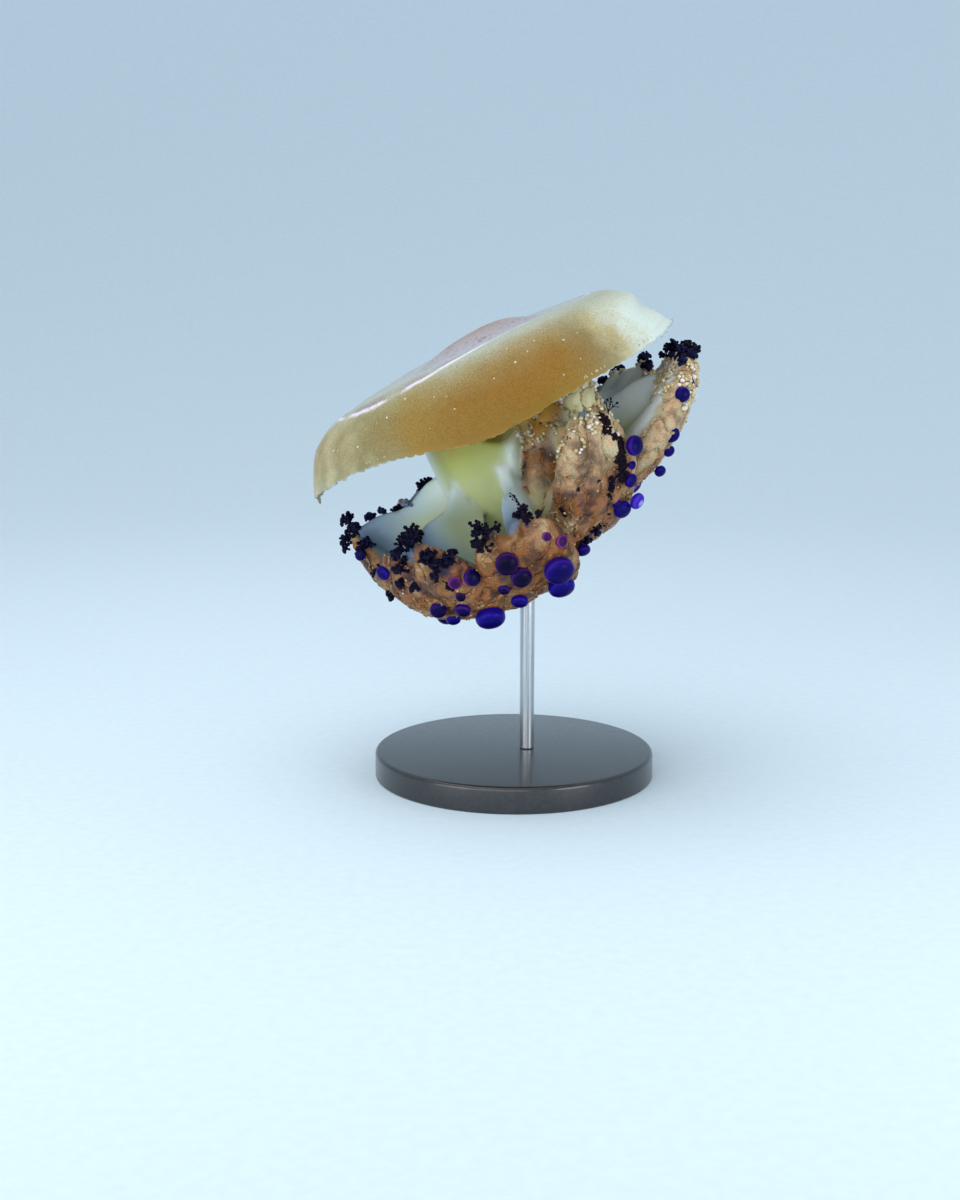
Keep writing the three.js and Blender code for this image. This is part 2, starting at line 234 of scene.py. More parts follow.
# ---- Tools of the bench ----


def select(*pieces):
    """Selects these pieces alone, the first of them as the active one."""
    bpy.ops.object.select_all(action="DESELECT")
    for piece in pieces:
        piece.select_set(True)
    bpy.context.view_layer.objects.active = pieces[0]


def points_of(piece, what="co"):
    """Where a piece's vertices are or, for "normal", which way each of them faces."""
    flat = np.empty(len(piece.data.vertices) * 3, np.float32)
    piece.data.vertices.foreach_get(what, flat)
    return flat.reshape(-1, 3).astype(float)


def move_points(piece, points):
    """Puts a piece's vertices at new places."""
    piece.data.vertices.foreach_set("co", np.asarray(points, np.float32).ravel())
    piece.data.update()


def write(piece, **values):
    """Writes one number for each vertex, under each name, for the material to read."""
    for name, numbers in values.items():
        layer = piece.data.attributes.new(name, "FLOAT", "POINT")
        layer.data.foreach_set("value", np.asarray(numbers, np.float32))


def finish_with(piece, kind, **settings):
    """Adds a modifier and applies it."""
    select(piece)
    modifier = piece.modifiers.new(kind.lower(), kind)
    for name, value in settings.items():
        setattr(modifier, name, value)
    bpy.ops.object.modifier_apply(modifier=modifier.name)


def ball(rings):
    """A ball of radius 1 to shape a body from."""
    bpy.ops.mesh.primitive_uv_sphere_add(segments=32, ring_count=rings, radius=1)
    return bpy.context.object


def mesh_piece(name, points, faces=(), edges=()):
    """A new piece from its points and its faces or edges."""
    mesh = bpy.data.meshes.new(name)
    mesh.from_pydata([tuple(p) for p in points], list(edges), faces)
    piece = bpy.data.objects.new(name, mesh)
    bpy.context.scene.collection.objects.link(piece)
    return piece


def spun(name, line, steps):
    """Turns an outline of radius and height once round the Z axis."""
    points = [(radius, 0, height) for radius, height in line]
    piece = mesh_piece(name, points, edges=[(i, i + 1) for i in range(len(points) - 1)])
    select(piece)
    bpy.ops.object.mode_set(mode="EDIT")
    bpy.ops.mesh.select_all(action="SELECT")
    bpy.ops.mesh.spin(steps=steps, angle=2 * math.pi, center=(0, 0, 0), axis=(0, 0, 1))
    bpy.ops.mesh.select_all(action="SELECT")
    bpy.ops.mesh.remove_doubles(threshold=0.001)
    bpy.ops.mesh.normals_make_consistent(inside=False)
    bpy.ops.object.mode_set(mode="OBJECT")
    return piece


def shape_of(piece):
    """The vertices and faces of a small model, which is then taken away."""
    points = points_of(piece)
    faces = [list(face.vertices) for face in piece.data.polygons]
    bpy.data.objects.remove(piece)
    return points, faces


def strewn(name, shape, places, axes, sizes, coat=True, **values):
    """One mesh of many copies of a small model. axes holds each copy's own X, Y and Z directions."""
    points, faces = shape
    places = np.asarray(places, float)
    count = len(places)
    scaled = points[None] * np.asarray(sizes, float).reshape(count, 1, -1)
    world = np.einsum("npc,ncd->npd", scaled, axes) + places[:, None]
    starts = np.arange(count) * len(points)
    corners = [[(starts + i).tolist() for i in face] for face in faces]
    piece = mesh_piece(name, world.reshape(-1, 3), [f for face in corners for f in zip(*face)])
    for key, numbers in values.items():
        numbers = np.asarray(numbers, float)
        if numbers.ndim == 1 and len(numbers) == count:
            numbers = np.repeat(numbers, len(points))
        elif numbers.ndim == 1:
            numbers = np.tile(numbers, count)
        write(piece, **{key: numbers.ravel()})
    if coat:
        unwrap(piece, places, points)
    return piece


COPY_PATCH = 0.003  # how much of the unwrap's width one copy takes


def unwrap(piece, places, points):
    """Lays each copy out as a small patch where its root lies on an unwrap of the skin's shape."""
    away = unit(places - np.array((0, 0, -8.0)))
    tilt = np.arccos(np.clip(away[:, 2], -1, 1)) / math.pi
    turn = np.arctan2(places[:, 1], places[:, 0])
    disc = np.column_stack((np.cos(turn), np.sin(turn))) * np.where(tilt < 0.5, tilt, 1 - tilt)[:, None]
    roots = disc * 0.45 + np.column_stack((np.where(tilt < 0.5, 0.25, 0.75), 0 * tilt + 0.5))
    spread = np.ptp(points, axis=0)
    wide = np.argsort(spread)[-2:]
    local = (points[:, wide] - points[:, wide].min(0)) / spread[wide].max() - 0.5
    flat = (roots[:, None] + local[None] * COPY_PATCH).reshape(-1, 2)
    layer = piece.data.uv_layers.new(name="OFBake")
    loops = np.empty(len(piece.data.loops), np.int32)
    piece.data.loops.foreach_get("vertex_index", loops)
    layer.data.foreach_set("uv", flat[loops].astype(np.float32).ravel())


def framed(up, side):
    """The X, Y and Z directions of copies that stand along up and are widest along side."""
    up = unit(up)
    side = unit(side - up * (side * up).sum(-1, keepdims=True))
    return np.stack((side, np.cross(up, side), up), 1)


WAVES = 16  # how many plane waves make up a winding pattern


def ripples(seed, length):
    """A soft winding pattern of a given wavelength: its value and its slope at any points."""
    draw = np.random.default_rng(seed)
    ways = unit(draw.normal(size=(WAVES, 3)))
    waves = ways * (2 * math.pi / (length * draw.uniform(0.8, 1.25, WAVES)))[:, None]
    phases = draw.uniform(0, 2 * math.pi, WAVES)

    def field(points):
        turn = points @ waves.T + phases
        strength = math.sqrt(2 / WAVES)
        return np.cos(turn).sum(1) * strength, -(np.sin(turn) @ waves) * strength

    return field


def stand_up(piece, material):
    """Banks a finished piece over the stand, in metres, and fixes it to the model's one body."""
    size = bpy.context.scene.jelly_bell.radius / (BELL_RADIUS * MM)
    x, y, z = (points_of(piece) * size).T
    c, s = math.cos(BANK), math.sin(BANK)
    banked = np.column_stack((c * x - s * z, y, s * x + c * z)) + MARGIN_CENTRE
    move_points(piece, banked * MM)
    piece.data.polygons.foreach_set("use_smooth", [True] * len(piece.data.polygons))
    piece.data.materials.append(material)
    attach(piece, "root")


# ---- Colour and material ----


def linear(code):
    """An sRGB hex colour as the linear RGBA that shaders take."""
    parts = [int(code[i : i + 2], 16) / 255 for i in (1, 3, 5)]
    return [p / 12.92 if p <= 0.04045 else ((p + 0.055) / 1.055) ** 2.4 for p in parts] + [1.0]


def feed(node, inputs):
    """Gives each input of a node its value, or joins it to the socket that feeds it."""
    for key, value in inputs.items():
        if isinstance(value, bpy.types.NodeSocket):
            node.id_data.links.new(value, node.inputs[key])
        else:
            node.inputs[key].default_value = value


# The output that is used of each kind of node, where it isn't the first.
WANTED = {"Mix": 2, "Attribute": "Fac", "TexCoord": "Object"}


def add_node(tree, kind, inputs=None, stops=(), **settings):
    """Adds one node with its settings and links, and gives its output. stops are a ramp's colours."""
    node = tree.nodes.new("ShaderNode" + kind)
    for name, value in settings.items():
        setattr(node, name, value)
    feed(node, inputs or {})
    if stops:
        elements = node.color_ramp.elements
        while len(elements) < len(stops):
            elements.new(0.5)
        for element, (place, colour) in zip(elements, stops):
            element.position = place
            element.color = linear(colour) if isinstance(colour, str) else colour
    return node.outputs[WANTED.get(kind, 0)]


def new_material(name):
    """A named material, its Principled shader, and add_node for its own tree."""
    material = bpy.data.materials.new(name)
    material.use_nodes = True
    tree = material.node_tree
    return material, tree.nodes["Principled BSDF"], partial(add_node, tree)


# The frills' colours over a noise, for the warm lower arms and for the pale upper ones.
WARM_FLESH = [(0.36, "#452a1c"), (0.46, "#6b4226"), (0.52, "#94592a"), (0.57, "#765228"), (0.67, "#ab7f54")]
PALE_FLESH = [(0.36, "#7d6850"), (0.46, "#a98f6c"), (0.52, "#c4a885"), (0.58, "#aea684"), (0.68, "#dcd2bc")]
WATERY = 1.37  # the index of refraction of tissue that is nearly all water
JELLY = {
    "IOR": WATERY, "Subsurface Weight": 0.45, "Subsurface Radius": (1.0, 0.75, 0.5),
    "Subsurface Scale": 2 * MM,
}


def flank_colours(add, place, ochre, bell):
    """What the flank's colours wander by, and the colours: pale cream in thin jelly, ochre in thick."""
    wander = add("TexNoise", {"Vector": place, "Scale": 1 / (8 * MM), "Detail": 3})
    depth = add("Math", {0: wander, 1: 0.3, 2: ochre}, operation="MULTIPLY_ADD")
    stops = [
        (0.2, bell.edge_colour), (0.36, "#b2aa84"), (0.5, bell.thin_colour), (0.7, "#886c2a"),
        (0.95, bell.flank_colour),
    ]
    return wander, add("ValToRGB", {"Fac": depth}, stops)


def flesh_colours(add, place, pale):
    """The patches of the frills' mottle, and its colours, from warm to pale."""
    patches = add("TexNoise", {"Vector": place, "Scale": 1 / (6 * MM), "Detail": 5, "Roughness": 0.6})
    warm, light = (add("ValToRGB", {"Fac": patches}, stops) for stops in (WARM_FLESH, PALE_FLESH))
    return patches, add("Mix", {0: pale, 6: warm, 7: light}, data_type="RGBA")


def wet_mesoglea(bell, arms):
    """The animal's own jelly: clear mesoglea, about as dense as water, over pigmented tissue.

    It is soft and wet, so light sinks a few millimetres into it and its gloss is weak. The pigment lies in
    grains of algae about half a millimetre apart, which is the fine speckle of the flank.
    """
    material, shader, add = new_material("wet_mesoglea")
    names = "out rim ochre under rays deep stem level milky warm membrane reach frill pale relief stain"
    at = {name: add("Attribute", attribute_name=name) for name in f"{names} olive cream".split()}
    place = add("TexCoord")

    # Bell: the colour rings of the upper side, wandering by a little, with brown specks on the dome.
    wander, flank = flank_colours(add, place, at["ochre"], bell)
    strayed = add("Math", {0: wander, 1: 0.05, 2: at["out"]}, operation="MULTIPLY_ADD")
    # The lilac to blue grey stops of the gutter and ring are a painted reflection, a sheen laid over the
    # ring's own pale yellowish colour.
    ring_stops = [
        (0.03, bell.dome_colour), (0.14, "#9a8a82"), (0.26, "#a1999e"), (0.42, "#a7aab8"),
        (0.55, "#a7b0b2"), (0.70, "#a6b0aa"), (0.80, "#a5ab9a"), (0.90, "#9c966c"),
    ]
    rings = add("ValToRGB", {"Fac": strayed}, ring_stops)
    blots = add("TexNoise", {"Vector": place, "Scale": 1 / (1.6 * MM), "Detail": 2})
    blotted = add("MapRange", {"Value": blots, "From Min": 0.6, "From Max": 0.68})
    on_dome = add(
        "MapRange", {"Value": at["out"], "From Min": 0.45, "From Max": 0.62, "To Min": 0.75, "To Max": 0.0}
    )
    dome_specks = add("Math", {0: blotted, 1: on_dome}, operation="MULTIPLY")
    low = add("MapRange", {"Value": strayed, "From Min": 0.80, "From Max": 0.94})
    # The crest of the ring: a painted highlight, a thin broken pale line, with a violet line of painted shade
    # above it.
    quiver = add("TexNoise", {"Vector": place, "Scale": 1 / (4 * MM), "Detail": 3})
    wavy = add("Math", {0: quiver, 1: 0.03, 2: at["rim"]}, operation="MULTIPLY_ADD")
    crest_highlight = add("ValToRGB", {"Fac": wavy}, [(0.682, "#82708f"), (0.694, "#e6deee")])
    greys = ((0.63, 0), (0.655, 0.45), (0.684, 0.55), (0.694, 1), (0.703, 1), (0.716, 0))
    crest_highlight_mask = add("ValToRGB", {"Fac": wavy}, [(spot, (grey, grey, grey, 1)) for spot, grey in greys])
    broken = add(
        "MapRange", {"Value": wander, "From Min": 0.38, "From Max": 0.52, "To Min": 0.1, "To Max": 0.8}
    )
    crest_highlight_share = add("Math", {0: crest_highlight_mask, 1: broken}, operation="MULTIPLY")
    # Underside: brown tissue with paler canals running out to the margin.
    canal_stops = [(0.0, "#6b4a20"), (0.55, "#83622e"), (0.9, "#a28c54"), (1.0, "#b3a272")]
    canals = add("ValToRGB", {"Fac": at["rays"]}, canal_stops)
    colour = rings
    for share, over in (
        (dome_specks, linear("#6c5646")), (low, flank), (crest_highlight_share, crest_highlight), (at["deep"], bell.deep_colour),
        (at["under"], canals),
    ):
        colour = add("Mix", {0: share, 6: colour, 7: over}, data_type="RGBA")
    # The speckle of algae, lighter and darker grains in the bell's jelly.
    grains = add("TexNoise", {"Vector": place, "Scale": 1 / (0.4 * MM), "Detail": 2})
    speckle = add("ValToRGB", {"Fac": grains}, [(0.34, "#8b847e"), (0.5, "#bcbcbc"), (0.68, "#e6e2d8")])
    colour = add("Mix", {0: 0.4, 6: colour, 7: speckle}, data_type="RGBA", blend_type="OVERLAY")
    # Stem: olive yellow where it leaves the bell, greenish yellow below, milky along the four pillars; the
    # milky white is partly the stem's pale tissue and partly a painted glow, as of light through the jelly.
    height = add("Math", {0: wander, 1: 0.3, 2: at["level"]}, operation="MULTIPLY_ADD")
    pillar_stops = [
        (0.1, arms.stem_colour), (0.42, "#b7be68"), (0.6, "#b3a84c"), (0.8, "#a8902e"), (1.0, "#96701c"),
    ]
    pillars = add("ValToRGB", {"Fac": height}, pillar_stops)
    whitened = add("Mix", {0: at["milky"], 6: pillars, 7: linear("#e4f6ee")}, data_type="RGBA")
    # Where an arm's frills reach up the stem the tissue is tan, brownest under the bell; that orange brown is
    # painted shade of the bell, set bright to offset the shade the lamps also give it.
    tanned = add("ValToRGB", {"Fac": height}, [(0.1, "#b79a66"), (0.35, "#b98c48"), (0.5, "#d29a38")])
    # Blades: white by the stem, turning blue grey towards the tips; the white by the stem is partly lifted as
    # painted light against the bell's shade.
    film_stops = [
        (0.38, "#f4fdf6"), (0.52, "#c6dce0"), (0.66, "#a4bccb"), (0.78, "#788fa8"), (0.92, arms.tip_colour),
    ]
    film = add("ValToRGB", {"Fac": at["reach"]}, film_stops)
    # On the pale arms the blades are lifted to near white, painted light against the bell's shade.
    lifted_film = add("Mix", {0: at["pale"], 6: film, 7: linear("#e8f4fa")}, data_type="RGBA")
    blades = add("Mix", {0: at["olive"], 6: lifted_film, 7: linear("#b4bb8c")}, data_type="RGBA")
    # Frills: soft lumps of orange brown, peach and olive, with painted shade along their creases.
    patches, flesh = flesh_colours(add, place, at["pale"])
    crease_shade = add("ValToRGB", {"Fac": at["relief"]}, [(0.0, "#a3988a"), (0.3, "#cbc2b4"), (0.6, "#ffffff")])
    lumpy = add("Mix", {0: 0.6, 6: flesh, 7: crease_shade}, data_type="RGBA", blend_type="MULTIPLY")
    gritty = add("Mix", {0: 0.35, 6: lumpy, 7: speckle}, data_type="RGBA", blend_type="OVERLAY")
    # Round the sprigs the frills are stained with their navy pigment, in blots.
    blotchy = add(
        "MapRange", {"Value": patches, "From Min": 0.42, "From Max": 0.58, "To Min": 0.9, "To Max": 0.0}
    )
    stain_share = add("Math", {0: at["stain"], 1: blotchy}, operation="MULTIPLY")
    overpainted = add("Mix", {0: stain_share, 6: gritty, 7: linear("#2c1c34")}, data_type="RGBA")
    # The last overlay lifts the frills beside arm 8's first fold to a pale cream, partly painted light
    # against the bell's shade.
    for name, over in (
        ("stem", whitened), ("membrane", blades), ("warm", tanned), ("frill", overpainted),
        ("cream", linear("#efecba")),
    ):
        colour = add("Mix", {0: at[name], 6: colour, 7: over}, data_type="RGBA")
    # The skin's own texture is too fine to show, so it is drawn at 0.6 mm.
    pores = add("TexNoise", {"Vector": place, "Scale": 1 / (0.6 * MM), "Detail": 3})
    bump = add("Bump", {"Height": pores, "Strength": 0.3, "Distance": 0.2 * MM})
    rough = add("MapRange", {"Value": pores, "To Min": 0.42, "To Max": 0.6})
    feed(shader, {"Base Color": colour, "Normal": bump, "Roughness": rough, **JELLY})
    return material


def thin_mesoglea(bell):
    """The jelly of the margin, under a millimetre thick, so that its edge is nearly clear."""
    material, shader, add = new_material("thin_mesoglea")
    thin, ochre = (add("Attribute", attribute_name=name) for name in ("thin", "ochre"))
    place = add("TexCoord")
    _, flank = flank_colours(add, place, ochre, bell)
    uneven = add("TexNoise", {"Vector": place, "Scale": 1 / (1.5 * MM), "Detail": 3})
    thinned = add("Math", {0: ochre, 1: -0.5, 2: thin}, operation="MULTIPLY_ADD")
    strayed = add("Math", {0: uneven, 1: 0.4, 2: thinned}, operation="MULTIPLY_ADD")
    span = {"Value": strayed, "From Min": 0.7, "From Max": 1.3}
    fading = add("MapRange", span)
    colour = add("Mix", {0: fading, 6: flank, 7: bell.edge_colour}, data_type="RGBA")
    clear = add("MapRange", {**span, "To Min": 1.0, "To Max": 0.35})
    feed(shader, {"Base Color": colour, "Alpha": clear, "Roughness": 0.45, **JELLY})
    return material


def frill_tissue(arms):
    """The leafy mouth frills: thin opaque tissue of the skin's own mottle, paler along the ruffled edge."""
    material, shader, add = new_material("frill_tissue")
    edge, tint, pale = (add("Attribute", attribute_name=name) for name in ("edge", "tint", "pale"))
    _, flesh = flesh_colours(add, add("TexCoord"), pale)
    brightness = add("Math", {0: edge, 1: tint}, operation="MULTIPLY")
    colour = add("Mix", {0: brightness, 6: flesh, 7: arms.cream_colour}, data_type="RGBA")
    feed(shader, {
        "Base Color": colour, "Roughness": 0.55, "IOR": WATERY, "Subsurface Weight": 0.4,
        "Subsurface Radius": (1.0, 0.6, 0.35), "Subsurface Scale": MM,
    })
    return material


def granule_tissue():
    """Packed stinging cells: small milky beads with a soft gloss."""
    material, shader, add = new_material("granule_tissue")
    tint = add("Attribute", attribute_name="tint")
    stops = [(0.0, "#9c7a44"), (0.4, "#bca878"), (0.75, "#d2c6a6"), (1.0, "#e4d6d6")]
    feed(shader, {
        "Base Color": add("ValToRGB", {"Fac": tint}, stops), "Roughness": 0.35, "IOR": WATERY,
        "Subsurface Weight": 0.5, "Subsurface Radius": (1.0, 0.8, 0.6), "Subsurface Scale": MM,
    })
    return material


def sprig_tissue(arms):
    """The navy tufts of the arms: dense pigmented tissue, almost black where it is thick."""
    material, shader, add = new_material("sprig_tissue")
    tint = add("Attribute", attribute_name="tint")
    mottle = add("TexNoise", {"Vector": add("TexCoord"), "Scale": 1 / (0.8 * MM), "Detail": 2})
    strayed = add("Math", {0: mottle, 1: 0.3, 2: tint}, operation="MULTIPLY_ADD")
    stops = [
        (0.0, "#1d0b10"), (0.12, "#160916"), (0.26, arms.sprig_colour), (0.5, "#121036"),
        (0.75, "#2f3a6a"), (1.0, "#7f8cab"),
    ]
    colour = add("ValToRGB", {"Fac": strayed}, stops)
    feed(shader, {"Base Color": colour, "Roughness": 0.55, "IOR": WATERY, "Specular IOR Level": 0.12})
    return material


def button_tissue(arms):
    """The violet buttons: firm glossy pads, darkest in the middle, with a thin magenta rim lightened as a
    painted highlight; some pads are painted in shade and some painted glowing as if lit through.
    """
    material, shader, add = new_material("button_tissue")
    rim, tone = (add("Attribute", attribute_name=name) for name in ("rim", "tone"))
    # The first ramp paints a pad in shade, the next paints it glowing as if lit through; the lighter band
    # near each rim is a painted highlight.
    painted_shade_ramp = [(0.0, "#060118"), (0.7, "#090228"), (0.88, "#180542"), (0.96, "#4c1c66"), (1.0, "#1a0748")]
    painted_glow_ramp = [
        (0.0, arms.button_colour), (0.6, "#0b025a"), (0.86, "#10046a"), (0.95, "#1d0e86"), (1.0, "#150870"),
    ]
    magenta = [(0.0, "#2a0836"), (0.7, "#390e4c"), (0.95, "#7c3478"), (1.0, "#2a0836")]
    ringed = [(0.0, "#a39cdc"), (0.34, "#7f74d0"), (0.52, "#24109a"), (0.95, "#4a30b0"), (1.0, "#24109a")]
    colour = add("ValToRGB", {"Fac": rim}, painted_shade_ramp)
    for start, whole, stops in ((0, 1, painted_glow_ramp), (1.5, 2, magenta), (2.5, 3, ringed)):
        share = add("MapRange", {"Value": tone, "From Min": start, "From Max": whole})
        over = add("ValToRGB", {"Fac": rim}, stops)
        colour = add("Mix", {0: share, 6: colour, 7: over}, data_type="RGBA")
    grain = add("TexNoise", {"Vector": add("TexCoord"), "Scale": 1 / (0.5 * MM), "Detail": 2})
    feed(shader, {
        "Base Color": colour, "Normal": add("Bump", {"Height": grain, "Strength": 0.2, "Distance": 0.1 * MM}),
        "Roughness": 0.32, "IOR": WATERY, "Specular IOR Level": 0.12,
    })
    return material


def lacquered_acrylic(stand):
    """Black acrylic, turned and lacquered: a deep even black under a clear coat with faint ripples."""
    material, shader, add = new_material("lacquered_acrylic")
    ripple = add("TexNoise", {"Vector": add("TexCoord"), "Scale": 1 / (1.5 * MM), "Detail": 3})
    feed(shader, {
        "Base Color": add("ValToRGB", {"Fac": ripple}, [(0.3, "#141517"), (0.7, stand.base_colour)]),
        "Roughness": add("MapRange", {"Value": ripple, "To Min": 0.26, "To Max": 0.4}),
        "Normal": add("Bump", {"Height": ripple, "Strength": 0.08, "Distance": 0.05 * MM}),
        "IOR": 1.49, "Coat Weight": 0.5, "Coat Roughness": 0.12,
    })
    return material


def brushed_steel(stand):
    """Stainless steel rod, brushed along its length with a fine grit: streaks about 0.3 mm apart."""
    material, shader, add = new_material("brushed_stainless_steel")
    stretched = add("Mapping", {"Vector": add("TexCoord"), "Scale": (1, 1, 0.01)})
    streaks = add("TexNoise", {"Vector": stretched, "Scale": 1 / (0.3 * MM), "Detail": 2})
    feed(shader, {
        "Base Color": add("ValToRGB", {"Fac": streaks}, [(0.3, "#9a9da1"), (0.7, stand.rod_colour)]),
        "Roughness": add("MapRange", {"Value": streaks, "To Min": 0.22, "To Max": 0.38}), "Metallic": 1,
    })
    return material


def painted_backdrop(stage):
    """A studio sweep, matt emulsion on board: even and pale, with the faint mottle of a roller."""
    material, shader, add = new_material("painted_backdrop")
    mottle = add("TexNoise", {"Vector": add("TexCoord"), "Scale": 1 / (3 * MM), "Detail": 2})
    colour = add("ValToRGB", {"Fac": mottle}, [(0.3, stage.floor_colour), (0.7, "#deeff9")])
    feed(shader, {"Base Color": colour, "Roughness": 0.85})
    return material


# ---- Flesh: one skin over bell, stem, blades and lobes ----

BELL, STALK, FILM, FRILL = range(4)  # the kinds of flesh
SOFT_FOLDS = ripples(11, 8.5)  # the winding folds of the frills
FINE_FOLDS = ripples(12, 3.2)
bench = {}  # what one piece leaves for the next, in the animal's own frame


def patch_at(points, middle, size):
    """A soft patch on the skin: 1 at its middle, fading away over its size."""
    return np.exp(-(np.linalg.norm((points - middle) / size, axis=1) ** 2))


def bell_body():
    """The bell: its outline spun round, then given its life."""
    body = spun("bell", np.vstack((UPPER, LOWER[::-1])), 160)
    move_points(body, pulse(points_of(body)))
    return body


def rib_at(angle, z):
    """How much of the rib there is that runs down the stem, leaning, at an angle and a height."""
    return bump_at(angle - z, -77, 6) * rise(z, -5, -5)


# The folds of arm 8's frills that reach up the stem to the bell: middle, long axis, half sizes, t.
FOLDS = [
    ((8.5, -24, -18), (0.52, 0.08, 0.85), (6.4, 4.6, 17), 0.6),
    ((21, -20.5, -11), (0.62, 0.13, 0.77), (6.5, 5, 12), 0.9),
]
LOBE_OF_FOLDS = 14


def fold_body(middle, axis, sizes):
    """One fold: a long ball laid along its axis."""
    body = ball(34)
    axes = framed(np.array([axis]), np.array([[1.0, 0.35, 0]]))[0]
    move_points(body, (points_of(body) * sizes) @ axes + middle)
    return body


ARCH_SIZE = (12, 7.5, 8.6)  # half sizes of the opening between two pillars
ARCH_PLACE = (25, 0, 0.5)
HUB_SIZE = (14, 13, 8.5)  # half sizes
HUB_PLACE = (-4.5, 0, -40.5)


def stem_body():
    """The stem: four pillars with arched openings between them, standing on the middle of the arms."""
    body = spun("stem", np.vstack(((0, 13), STEM)), 96)
    x, y, z = points_of(body).T
    angle = np.arctan2(y, x)
    flute = 1 + 0.07 * np.cos(4 * angle - math.pi) + 0.02 * np.cos(11 * angle + 0.08 * z)
    flute = flute + 0.11 * rib_at(np.degrees(angle), z)
    move_points(body, np.column_stack((x * flute, y * flute, z)))
    for quarter in range(4):
        arch = ball(20)
        turn = quarter * math.pi / 2
        x, y, z = (points_of(arch) * ARCH_SIZE + ARCH_PLACE).T
        turned = x * math.cos(turn) - y * math.sin(turn), x * math.sin(turn) + y * math.cos(turn), z
        move_points(arch, np.column_stack(turned))
        finish_with(body, "BOOLEAN", object=arch, operation="DIFFERENCE")
        bpy.data.objects.remove(arch)
    return body


def blade_top(arm, out):
    """The radius and height of an arm's blade along its upper edge, which sags a little."""
    reach, tip = ARMS[arm][2:4]
    sag = -3 * np.sin(out * math.pi) + 0.9 * np.sin(out * 13 + arm)
    return 17 + (reach - 19.5) * out, -8 + (tip + 7.5) * out + sag


def blade_body(arm):
    """The smooth inner blade of an arm, between the stem and the lobes. Gives its t too."""
    bpy.ops.mesh.primitive_cube_add(size=1)
    body = bpy.context.object
    bpy.ops.object.mode_set(mode="EDIT")
    bpy.ops.mesh.subdivide(number_cuts=11)
    bpy.ops.object.mode_set(mode="OBJECT")
    x, y, z = points_of(body).T
    out = x + 0.5
    up = y + 0.5
    t = 0.3 + 0.66 * out
    low = outer_curve(arm, t) + inward(arm, t) * (lobe_thick(t) * 0.6)[:, None]
    high = np.column_stack(blade_top(arm, out))
    at = low + (high - low) * up[:, None]
    half = 5 - 3.6 * np.maximum(up, out * 0.9)
    swing = 1.4 * np.sin(out * 8 + 2 * arm) * up * out
    angle = math.radians(ARMS[arm][0]) + 0 * out
    tangent = np.column_stack((-np.sin(angle), np.cos(angle), 0 * angle))
    move_points(body, polar(at[:, 0], angle, at[:, 1]) + tangent * (2 * half * z + swing)[:, None])
    return body, t


def lobe_body(arm, side):
    """One of an arm's two lobes, a squarish drum bent along the arm. Gives its t and across too."""
    body = ball(34)
    x, y, z = points_of(body).T
    belt = np.maximum(1e-6, np.hypot(x, y))
    closing = np.sqrt(np.maximum(0, 1 - np.abs(z) ** 8))
    t = 1 - (0.5 - z / 2) ** 1.4
    across = squared(x / belt) * closing
    sideways = squared(y / belt) * closing * side
    move_points(body, lobe_point(arm, side, t, across, sideways))
    if side < 0:
        body.data.flip_normals()
    return body, t, across


def hub_body():
    """The frills that close the middle of the underside, where the arms meet."""
    body = ball(20)
    move_points(body, points_of(body) * HUB_SIZE + HUB_PLACE)
    return body


def roots_of(bodies):
    """A search tree over the loose bodies, with each point's kind of flesh, lobe and place along it."""
    rows = []
    for kind, lobe, body, t in bodies:
        points = points_of(body)
        facts = [value + np.zeros(len(points)) for value in (kind, lobe, t)]
        rows.append(np.column_stack((points, *facts)))
    table = np.vstack(rows)
    tree = kdtree.KDTree(len(table))
    for number, row in enumerate(table):
        tree.insert(row[:3], number)
    tree.balance()
    return tree, table


def spread_over(piece, values, times):
    """Blurs numbers held at the vertices over their neighbours along the edges."""
    ends = np.empty(len(piece.data.edges) * 2, np.int32)
    piece.data.edges.foreach_get("vertices", ends)
    a, b = ends.reshape(-1, 2).T
    count = len(values)
    share = np.maximum(1, np.bincount(a, minlength=count) + np.bincount(b, minlength=count))
    for _ in range(times):
        for column in range(values.shape[1]):
            old = values[:, column]
            near = np.bincount(a, old[b], count) + np.bincount(b, old[a], count)
            values[:, column] = (old + near / share) / 2
    return values


# Where along each arm its frills turn pale.
PALE_FROM = np.array((0.34, 0.35, 0.5, 0.6, 1.1, 1.2, 1.0, 0.64))


def ochre_at(angle):
    """How thick the flank's pigment is at a compass angle: thickest on the near and on the far side."""
    thick = bump_at(angle, -84, 32) + bump_at(angle, 96, 32)
    return 0.74 * thick + 0.14 * (1 - np.cos(np.radians(angle)))


# Patches of colour where arm 8 meets the stem and the bell: middle and size. The ochre and cream ones are the
# tissue's colours lifted brighter as painted light against the bell's shade.
OCHRE_PATCH = (9, -23, -5), (9, 9, 8)
CREAM_GLOW_PATCH = (23, -24, -8), (9, 9, 8)
LOW_CREAM_GLOW_PATCH = (1, -27, -28), 6
BROWN_PATCH = (10, -35, -21), 9
BLUR = 6  # how many times the kinds of flesh are blended over their borders
FOLD_WIDTH = 0.5
LUMPS, LUMPS_SUNK, WRINKLES = 1.1, 0.45, 0.14  # how far the frills swell, sink between and wrinkle


